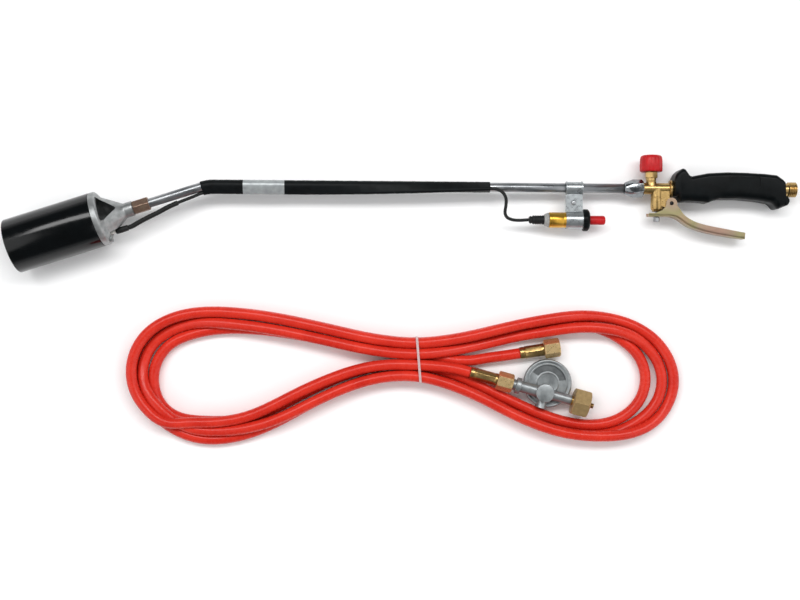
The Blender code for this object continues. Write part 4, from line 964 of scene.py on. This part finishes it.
def make_igniter():
    boot = [(141.2, 0), (141.2, 2.9), (141.8, 3.5), (142.6, 4.2), (143.3, 4.2), (144.0, 3.7), (144.6, 3.7),
        (145.4, 4.8)]
    for groove in range(4):
        at = 147.0 + 2.4 * groove
        boot += [(at, 4.9), (at + 0.4, 4.5), (at + 1.0, 4.5), (at + 1.4, 4.95)]
    boot += [(158.4, 5.0), (158.8, 4.6), (158.8, 2.1), (148.0, 2.1), (148.0, 0)]
    place_piece("boot_moulding", turned("boot_moulding", boot, 56), IGNITER, "torch", "rubber",
        ("igniter_boot",))
    collar = [(157.8, 5.9), (158.1, 6.3), (159.6, 7.1), (160.0, 7.0), (160.4, 7.3), (162.0, 7.9),
        (162.7, 7.9), (162.9, 7.7), (162.9, 5.4), (157.8, 5.4)]
    place_piece("collar_ring", turned("collar_ring", collar, 64, True), IGNITER, "torch", "pale",
        ("igniter_collar",))
    case = [(163.2, 8.1), (163.5, 8.4), (165.4, 8.4), (165.6, 8.2), (166.0, 8.2), (166.2, 8.4), (178.6, 8.4),
        (178.8, 8.25), (179.2, 8.25), (179.4, 8.4), (199.7, 8.4), (200.0, 8.1), (200.0, 5.4), (163.2, 5.4)]
    place_piece("case_tube", turned("case_tube", case, 80, True), IGNITER, "torch", "gold", ("igniter_case",))
    ring = [(200.3, 11.0), (200.5, 11.5), (200.9, 11.9), (201.4, 12.0), (205.0, 12.0), (205.7, 11.6),
        (207.0, 10.0), (207.3, 9.4), (207.3, 6.3), (206.6, 5.5), (200.3, 5.35)]
    flutes = carved("bezel_ring", turned("bezel_ring", ring, 96, True),
        [(turned("notch", [(199, 0), (199, 0.5), (206.4, 0.5), (206.4, 0)], 12), turn_to(15.0 * i, "X") @
        Matrix.Translation((0, 12.15 * MM, 0)), "DIFFERENCE") for i in range(24)])
    place_piece("bezel_ring", flutes, IGNITER, "torch", "plastic", ("igniter_ring",))
    button = [(199.0, 0), (199.0, 5.0), (222.6, 5.0), (223.6, 4.75), (224.5, 4.1), (224.9, 3.0), (225.0, 1.2),
        (225.0, 0)]
    place_piece("button_cap", turned("button_cap", button, 64), IGNITER, "button", "red", ("igniter_button",))


def make_bracket():
    """Sheet strap round lance and igniter, with raised beads at its two edges and a rivet in the web."""
    low, high, piezo_y, web = 181.4, 200.0, -35.2, 1.3
    near, far = (math.degrees(math.asin(web / radius)) for radius in (6.7, 9.7))
    outline = arc((0, 0), 6.7, near - 180, 180 - near, 48) + arc((piezo_y, 0), 9.7, far, 360 - far, 64)
    strap = grid_mesh("strap", [[(x, y, z) for y, z in outline] for x in (low, high)])
    bead = [(0, 0), (0, 6.9), (0.25, 7.2), (0.8, 7.3), (1.35, 7.2), (1.6, 6.9), (1.6, 0)]
    steps = [(turned("bead", [(start + x, r) for x, r in bead], 64), NO_TURN, "UNION") for start in
        (low + 0.2, high - 1.8)]
    steps.append((turned("bore", [(170, 0), (170, 5.4), (210, 5.4), (210, 0)], 64), NO_TURN, "DIFFERENCE"))
    steps.append((turned("grip", [(170, 0), (170, 8.7), (210, 8.7), (210, 0)], 72),
        Matrix.Translation((0, piezo_y * MM, 0)), "DIFFERENCE"))
    rivet_at = turn_to(-90, "Y", (190.1, -16.3, 0))
    steps.append((turned("rivet", [(-5, 0), (-5, 1.7), (5, 1.7), (5, 0)], 32), rivet_at, "DIFFERENCE"))
    mesh = carved("strap_plate", strap, steps)
    soften(place_piece("strap_plate", mesh, TORCH, "torch", "plated", ("igniter_bracket",)), 0.25)
    rivet = [(-2.6, 0.7), (-2.6, 1.8), (-2.3, 2.3), (-1.6, 2.7), (-1.6, 1.4), (1.6, 1.4), (1.6, 2.7),
        (2.3, 2.3), (2.6, 1.8), (2.6, 0.7), (2.0, 0.6), (-2.0, 0.6)]
    place_piece("hollow_rivet", turned("hollow_rivet", rivet, 40, True), TORCH @ rivet_at, "torch", "steel",
        ("bracket_rivet",))


# ---------------------------------------------------------------- valve

KNOB_X, STEM_X = 275.2, 281.4
PIVOT = (296.5, -16.3)


def make_union():
    hexagon = nut_mesh("raw", 245.6, 266.3, 17.2, [(266.3, 7.2), (249.3, 7.2), (249.3, 5.4), (245.6, 5.4)],
        False, 1.4)
    nose = [(245.0, 0), (245.6, 5.8), (246.0, 6.3), (246.8, 6.8), (255.6, 10.2), (264.9, 10.2), (266.4, 8.6),
        (266.4, 0)]
    mesh = carved("union_nut", hexagon, [(turned("nose", nose, 96), NO_TURN, "INTERSECT")])
    soften(place_piece("union_nut", mesh, TORCH, "torch", "chrome", ("lance_nut",)), 0.2)


def make_valve():
    barrel = [(253.7, 0), (253.7, 6.0), (255.2, 6.9), (265.4, 6.9), (266.0, 6.75), (266.6, 6.2), (284.0, 6.2),
        (300.9, 6.2), (300.9, 0)]
    up, down = turn_to(90, "Z", (KNOB_X, 0, 0)), turn_to(-90, "Z", (STEM_X, 0, 0))
    neck = [(0.5, 0), (0.5, 5.6), (7.2, 5.6), (7.6, 5.2), (8.4, 5.2), (8.8, 5.6), (13.4, 5.6), (13.7, 5.3),
        (13.7, 0)]
    leg = [(0.5, 0), (0.5, 6.5), (9.0, 6.5), (9.4, 6.2), (10.2, 6.2), (10.6, 6.5), (21.3, 6.5), (22.4, 6.2),
        (23.3, 5.7), (23.6, 5.4), (23.6, 0)]
    lug = [(285.0, -3.0), (285.0, -19.6), (291.0, -20.8)] + arc(PIVOT, 4.7, -95, 75, 24) + [(294.4, -9.8),
        (294.4, -3.0)]
    bore = {"passage": ([(250, 0), (250, 3.0), (292, 3.0), (292, 0)], NO_TURN), "outlet":
        ([(291.7, 0), (291.7, 4.9), (305, 4.9), (305, 0)], NO_TURN), "seat":
        ([(250, 0), (250, 5.4), (257, 5.4), (257, 0)], NO_TURN), "neck":
        ([(-1, 0), (-1, 1.6), (3.6, 1.6), (5.0, 3.2), (20, 3.2), (20, 0)], up), "leg":
        ([(-1, 0), (-1, 1.8), (5.0, 1.8), (6.4, 4.1), (30, 4.1), (30, 0)], down), "pivot":
        ([(-9, 0), (-9, 2.2), (9, 2.2), (9, 0)], turn_to(-90, "Y", (*PIVOT, 0))),}
    steps = [(turned("neck", neck, 64), up, "UNION"), (turned("leg", leg, 64), down, "UNION"),
        (prism("lug", lug, -5.5, 5.5), NO_TURN, "UNION")]
    steps += [(turned(name, profile, 48), matrix, "DIFFERENCE") for name, (profile, matrix) in bore.items()]
    mesh = carved("valve_casting", turned("valve_casting", barrel, 72), steps)
    soften(place_piece("valve_casting", mesh, TORCH, "torch", "brass", ("valve_body",)), 0.25)
    bore = [(18.3, 5.9), (20.6, 5.9), (20.8, 5.7), (20.8, 2.2), (18.2, 2.2), (18.2, 4.2), (14.0, 4.2),
        (14.0, 5.75), (11.4, 5.75)]
    mesh = nut_mesh("bonnet_nut", 11.4, 18.1, 12.5, bore, True, 0.7)
    place_piece("bonnet_nut", mesh, TORCH @ up, "torch", "brass", ("valve_bonnet",))
    gland = [(17.0, 3.8), (23.7, 3.8), (23.9, 5.0), (24.1, 5.2), (25.0, 4.9), (25.2, 4.6), (25.2, 1.9),
        (17.0, 1.9)]
    place_piece("gland_ring", turned("gland_ring", gland, 56, True), TORCH @ down, "torch", "brass",
        ("gland_nut",))
    stem = [(7.0, 0), (7.0, 1.2), (8.2, 1.2), (8.2, 3.2), (9.2, 3.2), (9.2, 1.5), (28.0, 1.5)]
    for thread in range(12):
        stem += [(28.3 + 0.6 * thread, 1.5), (28.6 + 0.6 * thread, 1.25)]
    stem += [(35.7, 1.5), (36.0, 1.2), (36.0, 0)]
    place_piece("stem_rod", turned("stem_rod", stem, 40), TORCH @ down, "stem", "steel", ("valve_stem",))
    mesh = nut_mesh("stem_hexagon", 31.0, 36.3, 6.0, [(36.3, 1.8), (31.0, 1.8)], False, 0.5)
    place_piece("stem_hexagon", mesh, TORCH @ down, "stem", "steel", ("stem_nut",))


def make_knob():
    sides, flutes = 144, 12
    rows = []
    profile = [(18.3, 11.0), (18.5, 11.5), (19.1, 12.1), (20.0, 12.4), (25.0, 12.5), (31.0, 12.3),
        (33.6, 11.95), (35.0, 11.4), (35.9, 10.5), (36.4, 9.2), (36.5, 8.0), (36.2, 6.4), (36.15, 3.0)]
    for x, radius in profile:
        depth = 0.5 if 9.5 < radius and 18.6 < x < 35.5 else 0.15
        row = []
        for i in range(sides):
            angle = 2 * math.pi * i / sides
            r = radius - depth * (0.5 - 0.5 * math.cos(flutes * angle)) ** 3
            row.append((x, r * math.cos(angle), r * math.sin(angle)))
        rows.append(row)
    knob = TORCH @ turn_to(90, "Z", (KNOB_X, 0, 0))
    hollow = turned("hollow", [(10, 0), (10, 7.4), (24.0, 7.4), (24.0, 2.1), (33.0, 2.1), (33.0, 0)], 48)
    mesh = carved("knob_cap", grid_mesh("knob_cap", rows), [(hollow, NO_TURN, "DIFFERENCE")])
    place_piece("knob_cap", mesh, knob, "knob", "red", ("flow_knob",))


LEVER_UNDERSIDE = [(271.6, -30.6), (283.0, -30.7), (295.0, -30.7), (303.4, -33.2), (314.5, -40.8),
    (328.3, -46.1), (342.2, -49.4), (360.0, -52.4), (376.8, -54.9)]
LEVER_TOP = [(377.4, -47.9), (356.1, -44.0), (335.2, -40.0), (322.7, -36.4), (314.5, -32.2), (308.8, -27.2),
    (305.0, -21.6)]


def round_along(mesh, path, radius_mm):
    """Round the two long edges of a plate that follow the given side of its outline."""
    bm = bmesh.new()
    bm.from_mesh(mesh)
    near = {(round(x, 3), round(y, 3)) for x, y in path}
    on_path = {v for v in bm.verts if (round(v.co.x / MM, 3), round(v.co.y / MM, 3)) in near}
    edges = [e for e in bm.edges if e.verts[0] in on_path and e.verts[1] in on_path and
        abs(e.verts[0].co.z - e.verts[1].co.z) < 0.1 * MM]
    bmesh.ops.bevel(bm, geom=edges, offset=radius_mm * MM, segments=6, profile=0.5, affect="EDGES")
    bm.to_mesh(mesh)
    bm.free()
    return mesh


def make_lever():
    """Pressed sheet lever: a channel with rounded corners, a fork, two ears and a pivot hole."""
    under = [tuple(p) for p in smooth_line(LEVER_UNDERSIDE, 5)]
    top = [tuple(p) for p in smooth_line(LEVER_TOP, 5)]
    lower = [(289.4, -20.6), (286.4, -23.6), (281.0, -26.2), (277.0, -27.6), (271.6, -29.2)]
    outline = under + top + arc(PIVOT, 6.0, -15, 192, 28) + [tuple(p) for p in smooth_line(lower, 4)]
    half, sheet = 7.2, 1.4
    body = prism("lever", outline, -half, half)
    lip = [(x, y + 3.4) for x, y in under]
    band = round_along(prism("band", under + lip[::-1], -8.0, 8.0), under, 2.6)
    inside = [(x, y + sheet) for x, y in under]
    inside[0] = (inside[0][0] - 8, inside[0][1])
    inside[-1] = (inside[-1][0] + 8, inside[-1][1] - 1.3)
    inside += [(inside[-1][0], 20.0), (inside[0][0], 20.0)]
    slot = grid_mesh("slot", [[(256.0, -45.0, z), (STEM_X + 2.6, -45.0, z), (STEM_X + 2.6, -24.0, z),
        (256.0, -24.0, z)] for z in (-1.9, 1.9)])
    hole = turned("pin_hole", [(-12, 0), (-12, 2.2), (12, 2.2), (12, 0)], 40)
    mesh = carved("lever_pressing", body, [(band, NO_TURN, "UNION"),
        (prism("inside", inside, sheet - half, half - sheet), NO_TURN, "DIFFERENCE"),
        (slot, NO_TURN, "DIFFERENCE"), (hole, turn_to(-90, "Y", (*PIVOT, 0)), "DIFFERENCE")])
    soften(place_piece("lever_pressing", mesh, TORCH, "lever", "lever", ("lever",)), 0.45, 3)
    pin = [(-8.5, 1.4), (-8.3, 1.7), (-8.0, 1.9), (8.0, 1.9), (8.3, 1.7), (8.5, 1.4), (8.5, 1.1), (-8.5, 1.1)]
    place_piece("pivot_pin", turned("pivot_pin", pin, 40, True), TORCH @ turn_to(-90, "Y", (*PIVOT, 0)),
        "torch", "spring", ("lever_pin",))


# ---------------------------------------------------------------- handle and inlet

HANDLE_TOP = [(298.4, 10.4), (300.6, 16.0), (303.4, 18.6), (306.9, 21.3), (309.6, 20.9), (314.5, 14.0),
    (317.0, 12.7), (335.2, 16.3), (356.1, 17.5), (376.9, 17.1), (397.6, 16.0), (410.1, 14.7), (417.1, 9.8),
    (419.0, 7.4)]
HANDLE_BOTTOM = [(298.4, -8.6), (303.5, -9.0), (304.3, -14.8), (314.5, -14.1), (331.1, -15.0), (335.2, -15.9),
    (340.8, -13.5), (348.9, -11.4), (369.9, -11.3), (390.7, -13.2), (404.0, -15.4), (407.2, -17.5),
    (410.1, -21.4), (412.2, -22.1), (419.0, -19.1)]
HANDLE_WIDTH = [(298.4, 13.5), (303.4, 15.6), (309.6, 16.0), (423.0, 16.0)]


def monotone(table, x, blend=1.6):
    """Table value at x, averaged over a short stretch so that corners come out rounded."""
    knots, values = zip(*table)
    offsets = np.linspace(-blend, blend, 9)
    return float(np.mean(np.interp(x + offsets, knots, values)))


def handle_ring(x, top, bottom, half):
    limit = (top - bottom) * 0.45
    upper, under = min(5.0, limit), min(8.0, limit)
    middle = (top + bottom) / 2
    row = []
    for y, z, radius, start in ((top, half, upper, 0), (top, -half, upper, 270), (bottom, -half, under, 180),
            (bottom, half, under, 90)):
        centre = (y - math.copysign(radius, y - middle), z - math.copysign(radius, z))
        row += [(x, a, b) for a, b in arc(centre, radius, start + 90, start, 10)]
    return row


def make_handle():
    rows = [handle_ring(298.6, 9.6, -8.0, 12.9)]
    for x in np.arange(299.0, 418.8, 0.9):
        rows.append(handle_ring(x, monotone(HANDLE_TOP, x, 1.0), monotone(HANDLE_BOTTOM, x, 1.0),
            monotone(HANDLE_WIDTH, x)))
    rows += [handle_ring(419.4, -7.4, -18.9, 16.0), handle_ring(420.8, -7.8, -18.4, 15.9),
        handle_ring(422.2, -8.8, -17.4, 15.3), handle_ring(423.2, -10.6, -15.4, 14.6)]
    panel = rounded([(357.0, 0.6), (391.0, 0.6), (391.0, 12.4), (357.0, 12.4)], 2.4, 8)
    steps = [(turned("bore", [(290, 0), (290, 6.5), (302, 6.5), (302, 5.3), (430, 5.3), (430, 0)], 48),
        NO_TURN, "DIFFERENCE"), (prism("panel", panel, 15.4, 18.0), NO_TURN, "DIFFERENCE"),
        (prism("panel_back", panel, -18.0, -15.4), NO_TURN, "DIFFERENCE")]
    mesh = carved("handle_grip", grid_mesh("handle_grip", rows), steps, 30)
    soften(place_piece("handle_grip", mesh, TORCH, "torch", "plastic", ("handle",)), 0.2)
    collar = [(294.8, 8.2), (295.1, 8.7), (295.6, 9.2), (297.6, 9.2), (298.0, 9.0), (298.0, 6.5),
        (294.8, 6.5)]
    place_piece("collar_brass", turned("collar_brass", collar, 64, True), TORCH, "torch", "brass",
        ("handle_collar",))


def make_inlet():
    root, crest, pitch = 7.5, 8.3, 1.9
    outside = [(419.8, 6.5), (420.2, 6.9), (424.9, 6.9), (425.2, root)]
    for turn in range(5):
        start = 425.4 + pitch * turn
        outside += [(start + 0.2, root + 0.3), (start + 0.45, crest - 0.05), (start + 0.65, crest),
            (start + 0.9, crest - 0.05), (start + 1.35, root + 0.2), (start + 1.6, root)]
    inside = [(434.8, root - 0.6), (434.8, 4.4), (431.6, 2.8), (424.4, 2.8), (424.4, 4.9), (419.8, 4.9)]
    mesh = turned("inlet_thread", outside + [(434.5, root - 0.1)] + inside, 72, True)
    place_piece("inlet_thread", mesh, TORCH, "torch", "brass", ("inlet_connector",))


# ---------------------------------------------------------------- couplings and regulator

def crimped_ferrule(name, length):
    """Ferrule with a rolled end, a stop groove and eight crimped flats along it."""
    rows = []
    profile = [(0, 6.3, 0), (0.2, 6.6, 0), (4.3, 6.6, 0), (4.7, 6.2, 0), (5.3, 6.2, 0), (5.6, 6.85, 0),
        (6.2, 6.9, 0.3), (7.4, 6.9, 1), (length - 3.4, 6.9, 1), (length - 2.4, 6.9, 0.3),
        (length - 2.0, 6.9, 0), (length - 0.3, 6.9, 0), (length, 6.6, 0), (length, 3.4, 0), (0, 3.4, 0)]
    for x, radius, flat in profile:
        row = []
        for i in range(96):
            angle = 2 * math.pi * i / 96
            wedge = (math.degrees(angle) + 22.5) % 45.0 - 22.5
            r = radius + flat * (min(radius, 6.42 / math.cos(math.radians(wedge))) - radius)
            row.append((x, r * math.cos(angle), r * math.sin(angle)))
        rows.append(row)
    return grid_mesh(name, rows, True)


def make_coupling(end, frame, length, nut_body, corner_up, turn_deg):
    spin = frame @ Matrix.Rotation(math.radians(turn_deg), 4, "X")
    mesh = crimped_ferrule("ferrule_shell_" + end, length)
    soften(place_piece("ferrule_shell_" + end, mesh, spin, "hose_set", "brass", ("ferrule_" + end,)),
        0.15)
    back = length + 0.3
    tail = [(0.6, 3.1), (back - 0.1, 3.1), (back - 0.1, 4.2), (back + 3.0, 4.2), (back + 3.0, 6.9),
        (back + 3.2, 7.1), (back + 6.8, 7.1), (back + 7.0, 6.9), (back + 7.4, 5.3), (back + 10.5, 5.3),
        (back + 12.8, 3.6), (back + 12.8, 1.7), (0.6, 1.7)]
    place_piece("nipple_" + end, turned("nipple_" + end, tail, 56, True), frame, "hose_set", "brass",
        ("hose_tail_" + end,))
    bore = [(back + 17.4, 7.9), (back + 17.0, 7.5)]
    for thread in range(6):
        at = back + 16.4 - 1.6 * thread
        bore += [(at, 7.5), (at - 0.4, 7.75), (at - 0.8, 7.5)]
    bore += [(back + 2.7, 7.5), (back + 2.7, 4.5), (back, 4.5)]
    mesh = nut_mesh("swivel_nut_" + end, back, back + 17.4, 18.2, bore, corner_up, 1.1)
    soften(place_piece("swivel_nut_" + end, mesh, frame, nut_body, "brass_pale", ("hose_nut_" + end,)), 0.2)


DISC_AT = (1.2, 10.6)
DISC_R = 26.6


def make_regulator():
    across = [(-46.3, 0), (-46.3, 6.8), (-46.0, 7.1), (-36.2, 7.1), (-36.0, 5.9), (-33.0, 5.9), (-32.6, 8.5),
        (-32.2, 8.8), (-27.9, 8.8), (-27.5, 8.5), (-27.0, 6.4), (-26.0, 6.2), (-14.0, 6.6), (0, 6.9),
        (6, 6.0), (14.0, 5.5), (29.7, 5.5), (30.0, 5.2), (30.0, 0)]
    rim = [(-8.0, 0), (-8.0, DISC_R), (-5.4, DISC_R), (-4.7, DISC_R - 0.3), (-4.2, DISC_R - 0.9),
        (-4.0, DISC_R - 1.8), (-4.2, DISC_R - 2.6), (-4.9, DISC_R - 3.4), (-5.1, DISC_R - 4.4),
        (-4.9, DISC_R - 5.0), (-4.5, DISC_R - 5.5), (-4.4, 12.8), (-4.1, 12.2), (-3.7, 11.6), (-4.1, 11.0),
        (-4.4, 10.4), (-4.4, 0)]
    flat = turn_to(-90, "Y")
    disc_at = Matrix.Translation(Vector((*DISC_AT, 0)) * MM) @ flat
    boss = [(-7.0, 0), (-7.0, 10.6), (4.0, 10.1), (7.7, 10.0), (8.2, 9.7), (8.4, 9.2), (8.4, 0)]
    stub = [(0, 0), (0, 5.6), (9.0, 5.2), (14.0, 5.4), (16.8, 6.0), (17.2, 5.6), (17.2, 0)]
    steps = [(turned("disc", rim, 128), disc_at, "UNION")]
    sector = arc(DISC_AT, 20.6, 25, 158, 40) + arc(DISC_AT, 13.2, 155, 28, 36)
    steps.append((prism("trough", rounded(sector, 1.2, 4), -6.9, 0.0), NO_TURN, "DIFFERENCE"))
    for start, end in ((205, 250), (292, 330)):
        sector = arc(DISC_AT, 20.6, start, end, 16) + arc(DISC_AT, 13.2, end, start, 14)
        steps.append((prism("pocket", rounded(sector, 1.2, 4), -6.7, 0.0), NO_TURN, "DIFFERENCE"))
    steps.append((turned("boss", boss, 72), flat, "UNION"))
    steps.append((turned("stub", stub, 56), turn_to(-90, "Z", (0, 0, -1.6)), "UNION"))
    rib = [(-27.0, -1.4), (26.0, -1.4), (26.0, 1.4), (-27.0, 1.4)]
    steps.append((prism("rib", rib, -4.9, 2.2), NO_TURN, "UNION"))
    steps += [(turned("outlet", [(-60, 0), (-60, 5.6), (-38.8, 5.6), (-38.8, 3.0), (1, 3.0), (1, 0)], 40),
        NO_TURN, "DIFFERENCE"), (turned("inlet", [(-1, 0), (-1, 2.6), (40, 2.6), (40, 0)], 32), NO_TURN,
        "DIFFERENCE"), (turned("boss_bore", [(-20, 0), (-20, 3.4), (0, 3.4), (0, 0)], 32), flat,
        "DIFFERENCE"), (turned("room", [(-20, 0), (-20, 21.5), (-7.4, 21.5), (-7.4, 0)], 72), disc_at,
        "DIFFERENCE")]
    mesh = carved("regulator_casting", turned("regulator_casting", across, 72), steps)
    # The casting's zinc look carries painted shade and is darker towards its low side.
    soften(place_piece("regulator_casting", mesh, REGULATOR, "hose_set", "zinc_painted_shade", ("regulator_body",)), 0.4, 3)
    cover = [(-17.2, 0), (-17.2, 13.0), (-16.9, 13.6), (-13.9, 15.3), (-13.3, 16.4), (-12.6, 24.0),
        (-12.3, 25.0), (-11.2, DISC_R - 0.1), (-10.9, DISC_R), (-9.2, DISC_R), (-9.2, DISC_R - 4.2),
        (-10.8, DISC_R - 4.2), (-12.2, 13.6), (-16.0, 11.8), (-16.0, 0)]
    place_piece("cover_pressing", turned("cover_pressing", cover, 128), REGULATOR @ disc_at, "hose_set",
        "zinc", ("regulator_cover",))


def make_cylinder_inlet():
    tail = [(30.3, 5.0), (30.5, 5.2), (35.8, 5.2), (36.0, 8.4), (40.6, 8.4), (41.0, 2.9)]
    for ridge in range(5):
        at = 51.0 + 0.8 * ridge
        tail += [(at, 2.9), (at + 0.3, 2.6), (at + 0.5, 2.6)]
    tail += [(55.0, 2.9), (55.4, 2.4), (55.4, 1.5), (30.3, 1.5)]
    place_piece("inlet_nozzle", turned("inlet_nozzle", tail, 48, True), REGULATOR, "hose_set", "brass",
        ("inlet_tail",))
    bore = [(50.2, 11.0), (49.6, 10.4)]
    for thread in range(6):
        at = 49.0 - 1.8 * thread
        bore += [(at, 10.4), (at - 0.5, 10.75), (at - 1.0, 10.4)]
    bore += [(35.6, 10.4), (35.6, 5.6), (32.0, 5.6)]
    mesh = nut_mesh("cylinder_hexagon", 32.0, 50.2, 28.0, bore, True, 1.5)
    soften(place_piece("cylinder_hexagon", mesh, REGULATOR, "cylinder_nut", "brass_tan", ("cylinder_nut",)), 0.25)


def make_tie():
    """Thin strap drawn round the strands, a little askew."""
    low, high, top = -91.1, -40.0, 26.3
    outer = rounded([(low, 0.2), (high, 0.2), (high, top + 1.0), (low, top + 1.0)], 3.4, 8)
    inner = rounded([(low + 0.9, 1.1), (high - 0.9, 1.1), (high - 0.9, top + 0.1), (low + 0.9, top + 0.1)],
        2.8, 8)
    rows = []
    for dx, outline in ((-1.3, inner), (-1.3, outer), (-0.5, outer), (0.5, outer), (1.3, outer),
            (1.3, inner)):
        rows.append([(TIE_X + dx - 0.08 * (y + 65.5), y, z) for y, z in outline])
    tie = place_piece("strap_tie", grid_mesh("strap_tie", rows, True), HOSE, "hose_set", "tie",
        ("cable_tie",))
    return soften(tie, 0.15)


# ---------------------------------------------------------------- assembly

CAD_LOOKS = {"brass": ("gas_jet", "head_nut", "lance_olive", "valve_body", "valve_bonnet", "gland_nut",
    "handle_collar", "inlet_connector", "ferrule_free", "hose_tail_free", "inlet_tail", "ferrule_regulator",
    "hose_tail_regulator", "hose_nut_regulator", "hose_nut_free", "cylinder_nut"), "enamel": ("burner_cup",),
    "cast": ("burner_head",), "tube": ("lance_tube",), "chrome": ("lance_nut",), "steel":
    ("handle_pipe", "flame_stabiliser", "spark_electrode", "igniter_bracket", "bracket_rivet", "lever_pin",
    "needle_spindle", "valve_stem", "stem_nut"), "spring": ("button_spring", "stem_spring", "set_spring"),
    "sleeve": ("lance_sleeve",), "rubber": ("ignition_lead", "lead_sheath", "electrode_boot", "igniter_boot",
    "spindle_packing", "stem_seal", "diaphragm", "inlet_seal"), "white":
    ("electrode_insulator", "piezo_element"), "pale": ("igniter_collar",), "film": ("sleeve_label",), "gold":
    ("igniter_case",), "plastic": ("handle", "igniter_ring"), "red": ("igniter_button", "flow_knob"), "lever":
    ("lever",), "tie": ("cable_tie",), "zinc": ("regulator_body", "regulator_cover"), "hose":
    ("hose_hank", "hose_end"),}


def paint_cad_nodes():
    for look, names in CAD_LOOKS.items():
        for name in names:
            slots = FRAME["nodes"][name].data.materials
            slots.clear()
            slots.append(LOOKS[look])


bpy.context.scene.view_settings.view_transform = "Standard"
make_camera()
make_floor()
make_light()
paint_cad_nodes()
for make in (make_lance, make_sleeve, make_label, make_lead, make_electrode_boot, make_cup, make_head,
        make_igniter, make_bracket, make_union, make_valve, make_knob, make_lever, make_handle, make_inlet,
        make_regulator, make_cylinder_inlet):
    make()
make_coupling("free", FREE_END, FREE_FERRULE_LENGTH, "free_nut", False, 22.5)
make_coupling("regulator", REGULATOR @ Matrix.Translation((REGULATOR_COUPLING_X * MM, 0, 0)),
    REGULATOR_FERRULE_LENGTH, "hose_set", False, 6)
TIE = make_tie()
HOSE_PIECE, HOSE_PATH, HOSE_LENGTH = make_hose()
bpy.context.view_layer.update()
